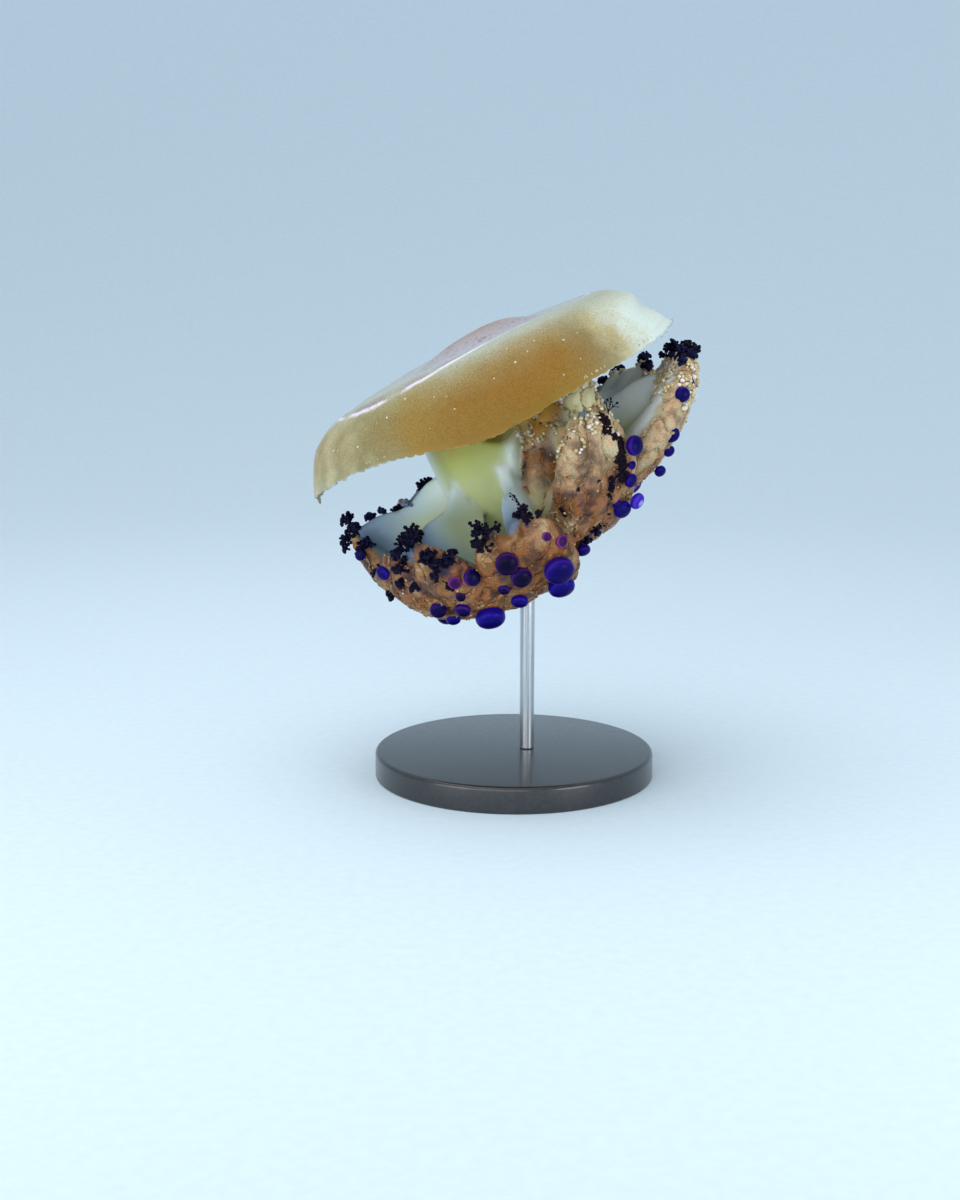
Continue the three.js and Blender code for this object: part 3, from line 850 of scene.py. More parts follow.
def build_skin(bell, arms):
    """One skin grown over all the soft bodies, with the numbers that its colours follow."""
    bodies = [(BELL, -1, bell_body(), 0), (STALK, -1, stem_body(), 0), (FRILL, -1, hub_body(), 0)]
    for *fold, t in FOLDS:
        bodies.append((FRILL, LOBE_OF_FOLDS, fold_body(*fold), t))
    for arm in range(8):
        body, t = blade_body(arm)
        bodies.append((FILM, 2 * arm, body, t))
        for side in SIDES:
            body, t, across = lobe_body(arm, side)
            kinds = np.where(across > 0.35, FILM, FRILL)
            bodies.append((kinds, 2 * arm + (side > 0), body, t))
    tree, table = roots_of(bodies)
    select(*(body for _, _, body, _ in bodies))
    bpy.ops.object.join()
    skin = bpy.context.object
    skin.name = "jelly_skin"
    finish_with(skin, "REMESH", mode="VOXEL", voxel_size=arms.skin_grain / MM)
    finish_with(skin, "SMOOTH", factor=0.5, iterations=6)
    points = points_of(skin)
    nearest = np.array([tree.find(p)[1] for p in points])
    kinds = table[nearest, 3].astype(int)
    masks = spread_over(skin, np.eye(4)[kinds], BLUR)

    # The frills swell into lumps between their folds.
    frill, film = masks[:, FRILL], masks[:, FILM]
    value, _ = SOFT_FOLDS(points)
    fine, _ = FINE_FOLDS(points)
    lump = 1 - np.exp(-((value / FOLD_WIDTH) ** 2))
    swelling = (LUMPS * lump - LUMPS_SUNK + WRINKLES * fine) * frill
    move_points(skin, points + points_of(skin, "normal") * swelling[:, None])
    finish_with(skin, "SMOOTH", factor=0.5, iterations=1)
    points = points_of(skin)
    normals = points_of(skin, "normal")

    lobe = table[nearest, 4].astype(int)
    along = table[nearest, 5]
    height = points[:, 2]
    angle = np.degrees(np.arctan2(points[:, 1], points[:, 0]))
    share = bell_share(points)
    from_axis = np.hypot(points[:, 0], points[:, 1])
    soft, _ = ripples(41, 14)(points)
    lightness = rise(along, PALE_FROM[lobe // 2], 0.25) * (lobe >= 0)
    pale = np.clip(lightness * 0.85 + 0.16 * soft, 0, 1) * (1 - film * (lobe // 2 > 1))
    pale = pale * (1 - 0.85 * patch_at(points, *BROWN_PATCH))
    # tan: a painted band of the bell's shade on the stem's near side just under the bell, brightened against
    # its real shade.
    tan = np.clip(1.5 * bump_at(angle, -58, 19) * np.exp(-(((height + 10) / 13) ** 2)), 0, 0.95)
    tan = tan * (masks[:, STALK] + film) * rise(from_axis, 46, -10)
    # Under the bell the first fold is painted a bright ochre, and beside it the frills a pale cream, both
    # partly painted light that lifts them out of the bell's shade.
    away = np.linalg.norm((points - OCHRE_PATCH[0]) / OCHRE_PATCH[1], axis=1)
    overpainted = rise(away, 1.35, -0.35) * frill
    warm = np.maximum(tan, 0.95 * overpainted)
    cream = 0.95 * patch_at(points, *CREAM_GLOW_PATCH) * (1 - overpainted)
    low_cream_glow = 0.6 * patch_at(points, *LOW_CREAM_GLOW_PATCH) * frill
    near_stem = 0.6 * bump_at(angle, -70, 22) + 0.3 * sum(bump_at(angle, a, 22) for a in (20, 110, 200))
    # whitish and the rib's milky share are partly pale tissue and partly a painted glow that lifts the stem
    # and rib out of the bell's shade.
    whitish = np.clip(1.2 * sum(bump_at(angle, a, 15) for a in (-164, 18, 108)), 0, 0.9)
    feet = np.array([sprig_foot(*row[:4])[0] for row in SPRIGS if row[5] < 0.2])
    gap = np.linalg.norm(points[:, None] - feet[None], axis=2)
    write(
        skin,
        out=share, level=rise(height, -16, 30), reach=from_axis / 60, ochre=ochre_at(angle), pale=pale,
        warm=warm, stem=masks[:, STALK], membrane=film, frill=frill * (1 - overpainted),
        stain=np.clip(np.exp(-((gap / 3) ** 2)).sum(1), 0, 1),
        cream=np.maximum(cream, low_cream_glow),
        olive=rise(height, -15, -9, 0.85) * rise(from_axis, 44, -8) * (1 - bump_at(angle - height, -77, 16)),
        # rim places the crest's painted highlight and shade, shifted by compass angle to follow the edge of
        # the near crest.
        rim=share - 0.012 - 0.14 * bump_at(angle, -126, 34) + 0.1 * bump_at(angle, -30, 22),
        under=np.clip(0.3 - 2.5 * normals[:, 2], 0, 1) * (share < 0.995),
        rays=0.5 + 0.5 * np.cos(np.radians(angle) * 32 + 0.6 * np.sin(share * 20)),
        deep=near_stem * rise(share, 0.99, -0.04) * rise(share, 0.80, 0.12),
        # relief is low along the sunk folds, where the frills' colour gets its painted crease shade.
        relief=np.clip(lump * 0.8 + 0.15 * fine + 0.1, 0, 1),
        milky=whitish * rise(height, 12, -12) + 0.95 * rib_at(angle, height),
    )
    bench.update(
        points=points, normals=normals, frill=frill, film=film, lobe=lobe, along=along, pale=pale, warm=warm
    )
    flesh = [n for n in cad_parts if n.startswith(("bell_", "arm_", "pillar_"))]
    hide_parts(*flesh)
    stand_up(skin, wet_mesoglea(bell, arms))


# ---- Margin of the bell ----

MARGIN_ROOT = 56.3  # where the thin margin leaves the flank, sunk under its surface
SCALLOPS = 128
SCALLOP_STEPS = 6
# Radii of the band's rings: at the foot of the flank, at the edge, behind the edge and underneath.
BAND_TOP, BAND_EDGE, BAND_BACK, BAND_UNDER = 57.9, 58, 57.75, 55
LEFT_DROP, RIGHT_FLARE, RIGHT_LIFT = 2.6, 1.3, 0.6  # the long tongues at the bell's two ends
FINGER_GROUPS = (55, 100, 145, 190, 235, 303, 325, 10)  # compass angles
FINGERS = 7  # in each group


def build_margin(bell):
    """The thin margin: a closed band over the bell's edge, ending in small tongues."""
    steps = SCALLOPS * SCALLOP_STEPS
    degrees = np.arange(steps) * 360 / steps
    angles = np.radians(degrees)
    tongue = np.abs(np.sin(angles * SCALLOPS / 2))
    draw = np.random.default_rng(21)
    ragged = np.repeat(draw.uniform(0.3, 1.1, SCALLOPS), SCALLOP_STEPS)
    hang = (0.4 + 0.7 * tongue**0.6) * ragged * (1 - 0.5 * bump_at(degrees, -78, 40))
    left = bump_at(degrees, 181, 3.2)
    right = bump_at(degrees, -5, 3.5)
    flute = 0.2 * np.sin(angles * SCALLOPS / 4 + 1.3)
    rows = []  # radius, height and thinness of each ring of the band
    for part in (0, 0.35, 0.7, 1):
        radius = MARGIN_ROOT + (BAND_TOP - MARGIN_ROOT) * part
        height = np.interp(radius, UPPER[:, 0], UPPER[:, 1]) + 0.12 * part - 0.75 * (1 - part) ** 2
        rows.append((radius, height, part * 0.5))
    for part, radius in ((0.5, BAND_EDGE), (1, BAND_EDGE), (1, BAND_BACK), (0.3, BAND_BACK)):
        radius = radius + flute * part + RIGHT_FLARE * right * part
        drop = (hang + LEFT_DROP * left) * part
        rows.append((radius, RIGHT_LIFT * right * part - drop, 0.5 + 0.5 * part))
    for part in (0.8, 0.3):
        radius = BAND_UNDER + 2 * part
        rows.append((radius, np.interp(radius, LOWER[:, 0], LOWER[:, 1]) - 0.1, part * 0.5))
    points = [pulse(polar(radius + 0 * angles, angles, height)) for radius, height, _ in rows]
    faces = []
    for row in range(len(rows)):
        under = (row + 1) % len(rows)
        for i in range(steps):
            j = (i + 1) % steps
            faces.append((row * steps + i, under * steps + i, under * steps + j, row * steps + j))
    band = mesh_piece("bell_margin", np.vstack(points), faces)
    thin = np.repeat([thinness for _, _, thinness in rows], steps)
    write(band, thin=thin, ochre=np.tile(ochre_at(degrees), len(rows)))
    stand_up(band, thin_mesoglea(bell))

    # Short whitish fingers hang in groups from the margin.
    where = np.concatenate([middle + np.linspace(-4, 4, FINGERS) for middle in FINGER_GROUPS])
    count = len(where)
    where += draw.uniform(-1, 1, count)
    roots = on_bell(where, 0.992) - (0, 0, 0.4)
    down = np.column_stack((draw.normal(0, 0.25, count), draw.normal(0, 0.25, count), -1 + 0 * where))
    sizes = np.column_stack((draw.uniform(0.18, 0.28, (count, 2)), draw.uniform(0.6, 1.1, count)))
    tint = draw.uniform(0.2, 0.7, count)
    fingers = strewn("margin_fingers", knob_shape(), roots, framed(down, roots), sizes, tint=tint)
    stand_up(fingers, granule_tissue())


def knob_shape():
    """A small ball of 20 faces."""
    bpy.ops.mesh.primitive_ico_sphere_add(subdivisions=1, radius=1)
    return shape_of(bpy.context.object)


# The larger grains of the bell's near side, as compass angle and share of the radius.
NEAR_SPECKS = [
    (216, 0.93), (248, 0.86), (276, 0.90), (284, 0.84), (289, 0.88), (293, 0.86), (284, 0.89),
    (294, 0.97), (229, 0.95), (241, 0.9), (262, 0.93), (301, 0.9), (318, 0.87),
]
STRAY_SPECKS = 44


def build_specks():
    """Pale grains that sit on the bell's flank."""
    draw = np.random.default_rng(22)
    angles, shares = zip(*NEAR_SPECKS)
    angle = np.concatenate((angles, draw.uniform(0, 360, STRAY_SPECKS)))
    share = np.concatenate((shares, draw.uniform(0.74, 0.97, STRAY_SPECKS)))
    size = np.concatenate((draw.uniform(0.24, 0.4, len(angles)), draw.uniform(0.12, 0.24, STRAY_SPECKS)))
    places = on_bell(angle, share, 0.05)
    up = unit(places - np.column_stack((places[:, :2] * 0.5, 0 * angle - 20)))
    axes = framed(up, places[:, [1, 0, 2]])
    sizes = np.column_stack((size, size, size * 0.7))
    tint = draw.uniform(0.6, 1, len(angle))
    specks = strewn("bell_specks", knob_shape(), places, axes, sizes, tint=tint)
    stand_up(specks, granule_tissue())


# ---- Frills, granules, sprigs and buttons ----


LEAF_GAP = 0.9
FOLD_REACH = 0.6  # how near a fold's middle line the leaves' roots are looked for
GRANULES = 1450


def leaf_shape(curl, ruffle):
    """One ruffled frill leaf, 1 wide and 1 high, closed and thin."""
    bpy.ops.mesh.primitive_grid_add(x_subdivisions=4, y_subdivisions=2, size=2)
    leaf = bpy.context.object
    x, y, _ = points_of(leaf).T
    up = (y + 1) / 2
    height = up * (1 + 0.16 * np.cos(5 * x + 1))
    bend = curl * up**2 + ruffle * up * np.sin(4.4 * x)
    move_points(leaf, np.column_stack((x * (0.3 + 0.25 * up), bend, height)))
    finish_with(leaf, "SOLIDIFY", thickness=0.11, offset=0)
    return shape_of(leaf)


def along_folds(chosen, gap):
    """Roots along the winding folds of the frills, one in each little cube of the given gap."""
    points = bench["points"][chosen]
    normals = bench["normals"][chosen]
    value, slope = SOFT_FOLDS(points)
    level = slope - normals * (slope * normals).sum(1, keepdims=True)
    steep = np.linalg.norm(level, axis=1)
    off = value / np.maximum(0.05, steep)
    close = np.abs(off) < FOLD_REACH
    roots = points[close] - unit(level[close]) * off[close, None]
    cells = np.floor(roots / gap).astype(int)
    _, kept = np.unique(cells, axis=0, return_index=True)
    index = np.flatnonzero(chosen)[close][kept]
    up = normals[close][kept]
    return roots[kept], up, np.cross(up, unit(level[close][kept])), index


def build_frills(arms):
    """Fine ruffled leaves stand along the folds of all the lobes."""
    draw = np.random.default_rng(31)
    arm = bench["lobe"] // 2
    leaves = [leaf_shape(0.35, 0.22), leaf_shape(-0.3, 0.28)]
    for side, lobes, (points, faces) in zip(("front", "back"), (arm >= 4, arm < 4), leaves):
        roots, up, side_way, index = along_folds((bench["frill"] > 0.55) & lobes, LEAF_GAP)
        count = len(roots)
        up = up + draw.normal(0, 0.3, (count, 3))
        flip = np.where(draw.random(count) < 0.5, 1, -1)[:, None]
        side_way = side_way * flip + draw.normal(0, 0.3, (count, 3))
        height = draw.uniform(0.55, 1.15, count) * arms.frill_height / MM
        sizes = np.column_stack((height * draw.uniform(1.0, 1.7, count), height, height))
        strip, _ = ripples(42, 9)(roots)
        tint = np.clip(0.05 + 0.25 * strip + draw.normal(0, 0.12, count), 0, 0.6)
        piece = strewn(
            f"frill_leaves_{side}", (points, faces), roots - up * 0.3, framed(up, side_way), sizes,
            tint=tint, pale=bench["pale"][index], edge=np.clip(points[:, 2] / points[:, 2].max(), 0, 1),
        )
        stand_up(piece, frill_tissue(arms))


def build_granules():
    """Milky beads lie in clusters on the frills, thickest at the tips of arms 1, 2 and 8."""
    draw = np.random.default_rng(32)
    points, normals, along, warm = (bench[key] for key in ("points", "normals", "along", "warm"))
    arm = bench["lobe"] // 2
    flesh = (bench["frill"] > 0.4) | ((bench["film"] > 0.4) & (arm == 0) & (along > 0.7))
    rich = (arm >= 0) * (arm <= 1) * rise(along, 0.70, 0.15) * 5 + (arm == 7) * rise(along, 0.84, 0.1) * 3
    clusters, _ = ripples(33, 5)(points)
    weight = (0.1 + rich) * flesh * (clusters > 0.1)
    weight = weight + 3 * ((warm > 0.35) & (points[:, 2] > -12) & (clusters > -0.2))
    index = draw.choice(len(weight), GRANULES, replace=False, p=weight / weight.sum())
    richly = (rich[index] > 0.5) | (warm[index] > 0.35)
    size = draw.uniform(0.35, 0.8, GRANULES) * np.where(richly, 1.0, 0.5)
    up = normals[index] + draw.normal(0, 0.2, (GRANULES, 3))
    lift = draw.uniform(0.0, 0.8, GRANULES) * np.where(richly, 1.0, 0.3)
    places = points[index] + normals[index] * lift[:, None]
    tint = np.where(richly, draw.uniform(0.25, 1, GRANULES), draw.uniform(0, 0.6, GRANULES))
    axes = framed(up, draw.normal(size=(GRANULES, 3)))
    sizes = size[:, None] * draw.uniform(0.85, 1.2, (GRANULES, 3))
    beads = strewn("frill_granules", knob_shape(), places, axes, sizes, tint=tint)
    stand_up(beads, granule_tissue())


# The sprigs whose places are known: arm, side, t, degrees round the lobe from its outer face, size,
# paleness, and whether it is a fine open tree.
SPRIGS = [
    (5, -1, 0.98, 84, 8, 0.15, 0), (5, -1, 0.96, 124, 8, 0.15, 0), (5, -1, 1.0, 20, 7, 0.2, 0),
    (5, -1, 0.80, 172, 8, 0.12, 0), (5, -1, 0.71, -172, 9, 0.12, 0), (5, -1, 0.52, 172, 6, 0.12, 0),
    (6, 1, 1.0, -14, 8, 0.1, 0), (6, 1, 0.94, 36, 7, 0.1, 0), (6, 1, 0.90, 70, 7, 0.12, 0),
    (4, 1, 0.96, 76, 6, 0.3, 0), (4, 1, 0.94, 172, 6, 0.6, 0), (4, -1, 0.98, 116, 5, 0.3, 0),
    (4, 1, 0.82, 108, 7, 0.12, 0), (4, 1, 0.72, 116, 8, 0.12, 0), (4, 1, 0.77, 130, 6, 0.12, 0),
    (6, 1, 0.94, 20, 6, 0.1, 0), (6, 1, 0.88, 20, 7, 0.1, 0), (6, 1, 0.90, 92, 5, 0.12, 0),
    (7, -1, 0.96, -60, 5, 0.1, 0), (6, -1, 0.86, 20, 7, 0.12, 0), (6, -1, 0.84, 44, 6, 0.12, 0),
    (5, 1, 0.70, 20, 6, 0.12, 0), (6, -1, 0.94, 60, 6, 0.12, 0), (6, -1, 0.98, 110, 5, 0.12, 0),
    (7, -1, 0.98, -20, 12, 0.03, 0), (7, -1, 1.0, 40, 10, 0.03, 0), (7, 1, 1.0, -30, 6, 0.0, 0),
    (7, 1, 1.0, 10, 9, 0.05, 1), (7, 1, 0.98, -4, 4, 0.0, 0), (7, 1, 0.98, 84, 3, 0.0, 0),
    (8, -1, 0.58, -60, 3, 0.0, 0), (8, -1, 0.70, -28, 2.5, 0.0, 0), (8, -1, 0.46, -100, 2.5, 0.0, 0),
    (8, -1, 0.94, -52, 2, 0.3, 0), (8, -1, 0.70, 28, 3, 0.2, 0),
    (8, 1, 0.94, 40, 6, 0.12, 1),
    (1, 1, 0.98, -172, 8, 0.25, 0), (1, -1, 0.98, -132, 7, 0.25, 0), (1, 1, 0.98, -116, 8, 0.25, 0),
    (1, -1, 0.96, -36, 5, 0.25, 0), (6, 1, 0.72, 84, 5, 0.05, 0), (6, 1, 0.78, 20, 4, 0.0, 0),
    (8, -1, 0.34, 4, 7, 0.14, 0), (8, -1, 0.38, 12, 7, 0.14, 0),
]
# Two dark seams of small knobs run down the second lobe of arm 8: t, degrees round the lobe, width,
# paleness.
SEAMS = [
    (0.96, -12, 2.2, -0.12), (0.94, -4, 2.4, -0.12), (0.92, -8, 2.4, -0.12),
    (0.90, -12, 2.4, -0.12), (0.87, 0, 2.4, -0.1), (0.84, 10, 2.4, -0.1),
    (0.82, 8, 2.4, -0.08), (0.80, 4, 2.4, -0.06), (0.78, 0, 2.6, -0.05),
    (0.76, -4, 2.8, -0.05), (0.74, -4, 3.0, -0.04), (0.72, -4, 3.2, -0.03),
    (0.70, -8, 3.2, -0.02), (0.68, -10, 3.2, 0.0), (0.66, -12, 3.0, 0.0),
    (0.66, -44, 2.8, 0.05), (0.63, -44, 3.0, 0.05), (0.60, -46, 3.2, 0.05),
    (0.57, -50, 3.2, 0.0), (0.54, -52, 3.2, 0.0), (0.51, -52, 3.2, 0.05),
    (0.48, -52, 3.2, 0.08), (0.44, -48, 3.4, 0.1), (0.40, -44, 3.8, 0.12),
    (0.36, -44, 4.0, 0.12), (0.33, -44, 4.2, 0.14), (0.30, -44, 4.2, 0.14),
]
# Sprigs along the top of a blade: arm, how far out, width, paleness.
BLADE_SPRIGS = [
    (5, 0.97, 5, 0.2), (5, 0.85, 5, 0.3), (5, 0.72, 5, 0.35), (5, 0.52, 5, 0.75), (6, 1.0, 9, 0.12),
    (6, 0.94, 11, 0.12), (6, 0.87, 9, 0.12), (1, 0.95, 4, 0.3), (3, 0.9, 5, 0.3), (4, 0.88, 5, 0.3),
    (4, 0.6, 4, 0.4),
]
# The sprigs of every lobe of the arms that face away.
FAR_SPRIGS = [(0.98, 20, 7), (0.95, 100, 6), (0.93, -70, 6), (0.84, 60, 5), (0.78, -40, 5)]
SEAM_KNOBS = 26  # for each row of SEAMS


def round_lobe(turn, share=1):
    """How far across and sideways a place is, at an angle in degrees round the lobe from its outer face."""
    return -math.cos(math.radians(turn)) * share, math.sin(math.radians(turn)) * share


def sprig_foot(arm, side, t, turn):
    """Where a sprig stands on its lobe, and which way it grows."""
    foot = lobe_point(arm - 1, side, t, *round_lobe(turn, 0.85))
    return foot, unit(foot - lobe_point(arm - 1, side, t - 0.12, 0, 0))


SHOOTS, FORKS = 3, 2  # how many shoots a sprig has, and how often each one forks


def sprig_growth(draw, foot, way, size, fine):
    """The stalks and knobs of one sprig: a few shoots, each forking twice."""
    stalks = []
    knobs = []
    slim = 0.55 if fine else 1
    shoots = []
    for _ in range(1 if fine else SHOOTS):
        lean = unit(unit(way) + draw.normal(0, 0.15 if fine else 0.45, 3))
        shoots.append((foot, lean, size * (0.34 if fine else 0.22), 0))
    while shoots:
        start, way, length, level = shoots.pop()
        end = start + way * length
        stalks.append((start, way, length, (0.38 - 0.09 * level) * slim))
        knobs.append((end, draw.uniform(0.42, 0.7) * slim * min(1, 0.4 + size / 10)))
        if level < FORKS:
            for _ in range(3 if fine else 4 - level):
                turned = unit(way + draw.normal(0, 0.5 if fine else 0.75, 3))
                shoots.append((end, turned, length * draw.uniform(0.6, 0.95), level + 1))
    return stalks, knobs


def build_sprigs(arms):
    """Navy tufts of knobs stand on the tips and edges of the lobes."""
    draw = np.random.default_rng(34)
    far = [
        (arm, side, t, turn * side, size, draw.uniform(0.1, 0.3), 0)
        for arm in (1, 2, 3, 4, 5)
        for side in SIDES
        for t, turn, size in FAR_SPRIGS
        if (arm, side) not in ((4, 1), (5, -1))
    ]
    sprigs = [(*sprig_foot(*row[:4]), *row[4:]) for row in SPRIGS + far]
    for arm, out, size, pale in BLADE_SPRIGS:
        radius, height = blade_top(arm - 1, out)
        foot = polar(radius, math.radians(ARMS[arm - 1][0]), height - 0.6)
        sprigs.append((foot, np.array((0, 0, 1.0)), size, pale, 0))
    stalks = []
    knobs = []
    for foot, way, size, pale, fine in sprigs:
        grown_stalks, grown_knobs = sprig_growth(draw, foot, way, size, fine)
        stalks += [(*stalk, pale) for stalk in grown_stalks]
        knobs += [(*knob, pale + draw.uniform(-0.05, 0.12)) for knob in grown_knobs]
    for t, turn, width, pale in SEAMS:
        middle = lobe_point(7, 1, t, *round_lobe(turn))
        out = unit(middle - lobe_point(7, 1, t, 0, 0))
        for _ in range(SEAM_KNOBS):
            place = middle + draw.normal(0, width * 0.24, 3)
            place = place + out * (0.5 - 0.7 * float((place - middle) @ out))
            knobs.append((place, draw.uniform(0.3, 0.6), pale + draw.uniform(-0.05, 0.1)))
    places, sizes, tints = (np.array(column) for column in zip(*knobs))
    axes = framed(draw.normal(size=places.shape), draw.normal(size=places.shape))
    sizes = (sizes * arms.knob_size / MM)[:, None] * draw.uniform(0.85, 1.2, places.shape)
    balls = strewn("sprig_knobs", knob_shape(), places, axes, sizes, tint=tints)
    stand_up(balls, sprig_tissue(arms))
    starts, ways, lengths, thick, tints = (np.array(column) for column in zip(*stalks))
    bpy.ops.mesh.primitive_cone_add(vertices=6, radius1=1, radius2=0.75, depth=1, location=(0, 0, 0))
    points, faces = shape_of(bpy.context.object)
    twig = points + (0, 0, 0.5), faces
    axes = framed(ways, draw.normal(size=ways.shape))
    sizes = np.column_stack((thick, thick, lengths))
    twigs = strewn("sprig_stalks", twig, starts, axes, sizes, tint=tints)
    stand_up(twigs, sprig_tissue(arms))


# The buttons of each arm's two lobes: how far along, where across, how wide, how long a stalk, and
# the tone: 0 painted in shade, 1 painted glowing as if lit through, 2 magenta, 3 a pale ring.
PAIR = [(0.3, 0.25, 6.4, 0, 0.8), (0.62, -0.35, 5, 0, 0.6)]
TRIO = [(0.24, -0.3, 5.4, 0, 0.7), (0.5, 0.4, 6.6, 0, 0.9), (0.78, -0.1, 4, 0, 1)]
BUTTONS = [
    (
        [(0.44, -0.25, 3.6, 2, 1), (0.53, -0.4, 3.4, 1, 1), (0.61, -0.65, 4.8, 0, 0.7),
         (0.8, -0.85, 4.6, 0, 0.6), (0.84, -0.62, 3.0, 0, 0.8)],
        PAIR,
    ),
    (TRIO, PAIR),
    (PAIR, TRIO),
    (PAIR, PAIR),
    (TRIO, [(0.4, 0.3, 6, 0, 0.4), (0.94, 0.7, 3.4, 0, 0.5)]),
    (
        [(0.5, 0.2, 4.2, 0, 1), (0.64, 0.5, 5.2, 0, 0.3), (0.96, 0, 4.4, 1.5, 0.9)],
        [(0.44, 0, 8.8, 0, 1), (0.6, -0.2, 4.8, 0, 0.3), (0.76, 0.9, 4.9, 0, 0.2),
         (0.8, 0.5, 3.8, 0, 2), (0.7, 0.25, 3, 0, 0.0)],
    ),
    (
        [(0.48, -0.3, 5, 1, 0.9), (0.64, -0.4, 3.5, 0, 0.2), (0.7, 0.35, 6, 0, 0.05),
         (0.84, 0.25, 6.6, 0, 0.0)],
        [(0.42, -0.25, 7.8, 0, 1), (0.64, 0.05, 8.4, 0, 0.7), (0.8, 0.65, 3.6, 0, 2),
         (0.88, 0.3, 2.7, 0, 2)],
    ),
    (
        [(0.28, -0.2, 4.4, 1, 0.8)],
        [(0.46, -0.15, 5.1, 0, 0.9), (0.5, 0.3, 4.8, 2, 3), (0.62, 0.15, 4, 0, 0.8),
         (0.79, 0.5, 6, 1.5, 0.6), (0.5, -0.4, 3, 0, 0.7), (0.7, 0.25, 2.4, 1, 0.8)],
    ),
]
# The pad of a button of width 1, above its stalk.
PAD_LINE = [
    (0.15, -0.1), (0.22, 0.0), (0.38, 0.05), (0.465, 0.13), (0.5, 0.25), (0.49, 0.36), (0.44, 0.46),
    (0.34, 0.54), (0.19, 0.59), (0, 0.61),
]
NECK_LINE = [(0, -0.02), (0.7, 0), (0.55, 0.3), (0.5, 0.6), (0.7, 1), (0, 1.02)]  # of a stalk of height 1


def build_buttons(arms):
    """Round violet pads on stalks, scattered over the outer faces of the lobes."""
    places, ways, widths, stalks, tones = [], [], [], [], []
    for arm, lobes in enumerate(BUTTONS):
        for side, row in zip(SIDES, lobes):
            for t, sideways, width, stalk, tone in row:
                foot = lobe_point(arm, side, t, -math.sqrt(max(0, 1 - sideways**2)), sideways)
                places.append(foot)
                ways.append(unit(foot - lobe_point(arm, side, t, 0, sideways * 0.4)))
                widths.append(width)
                stalks.append(stalk)
                tones.append(tone)
    draw = np.random.default_rng(35)
    places, widths, stalks = np.array(places), np.array(widths), np.array(stalks)
    # The pads of the near side are tipped outward from under the frills.
    tipped = np.where(places[:, 1:2] < -5, 1.0, 0.0) * (0, -0.3, 0)
    ways = unit(np.array(ways) + tipped + draw.normal(0, 0.05, places.shape))
    axes = framed(ways, draw.normal(size=places.shape))
    pad = shape_of(spun("pad", [(0, -0.1), *PAD_LINE], 28))
    x, y, z = pad[0].T
    rim = np.where(z < 0.1, 1.0, np.hypot(x, y) * 2)
    sizes = widths[:, None] * draw.uniform(0.96, 1.05, places.shape)
    tops = places + ways * stalks[:, None]
    pads = strewn("buttons", pad, tops, axes, sizes, coat=False, tone=tones, rim=rim)
    stand_up(pads, button_tissue(arms))
    neck = shape_of(spun("neck", NECK_LINE, 12))
    sizes = np.column_stack((widths * 0.22, widths * 0.22, stalks + 1.1 + widths * 0.08))
    plain = {name: value + 0 * widths for name, value in (("tint", 0.5), ("pale", 0.8), ("edge", 0.6))}
    necks = strewn("button_stalks", neck, places - ways, axes, sizes, coat=False, **plain)
    stand_up(necks, frill_tissue(arms))


# ---- Stand and stage ----


def build_stand(stand):
    """The turned base with its rounded edge, and the rod that holds the animal."""
    _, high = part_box("stand_base")
    radius, top = high.x / MM, high.z / MM
    rounded = ((0, 1.2), (0.1, 0.75), (0.35, 0.35), (0.75, 0.1), (1.2, 0))
    edge = [(radius - back, top - down) for back, down in rounded]
    base = spun("display_base", [(0, 0), (radius - 0.4, 0), (radius, 0.4), *edge, (0, top)], 160)
    low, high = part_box("stand_rod")
    thick = (high.y - low.y) / 2 / MM
    foot, head = low.z / MM, high.z / MM
    rod = spun("display_rod", [(0, foot), (thick, foot), (thick, head), (0, head)], 48)
    move_points(rod, points_of(rod) + ((low.x + high.x) / 2 / MM, 0, 0))
    for piece, node, slot, material in (
        (base, "stand_base", "base_lacquer", lacquered_acrylic(stand)),
        (rod, "stand_rod", "rod_steel", brushed_steel(stand)),
    ):
        move_points(piece, points_of(piece) * MM)
        select(piece)
        bpy.ops.object.shade_smooth_by_angle(angle=math.radians(35))
        piece.data.materials.append(material)
        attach(piece, "root")
        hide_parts(node)


SWEEP = 1.1  # the radius of the backdrop's curve, in metres
FLAT = 0.6  # where the curve begins
# Name, place from the middle of the bell's margin, size, share of the full power, and tint.
LAMPS = [
    ("key_from_above", (-0.2, -0.1, 0.75), 0.8, 0.5, (1.0, 1.0, 1.0)),
    ("fill_from_front", (-0.25, -0.85, 0.0), 1.0, 1.0, (1.0, 0.99, 0.97)),
    ("glow_from_left", (-0.3, -0.26, -0.05), 0.2, 0.06, (1.0, 1.0, 0.98)),
    ("glow_from_right", (0.3, -0.3, -0.04), 0.2, 0.09, (1.0, 1.0, 1.0)),
]
ROOM_LIGHT = 0.72
CAMERA_RISE = math.radians(4)
CAMERA_ASIDE = -0.00345
CAMERA_LENS = 50
LAMP_SPREAD = math.radians(120)
DROP_IN_FRAME = math.atan(0.114)  # how far below the bell's margin the camera looks


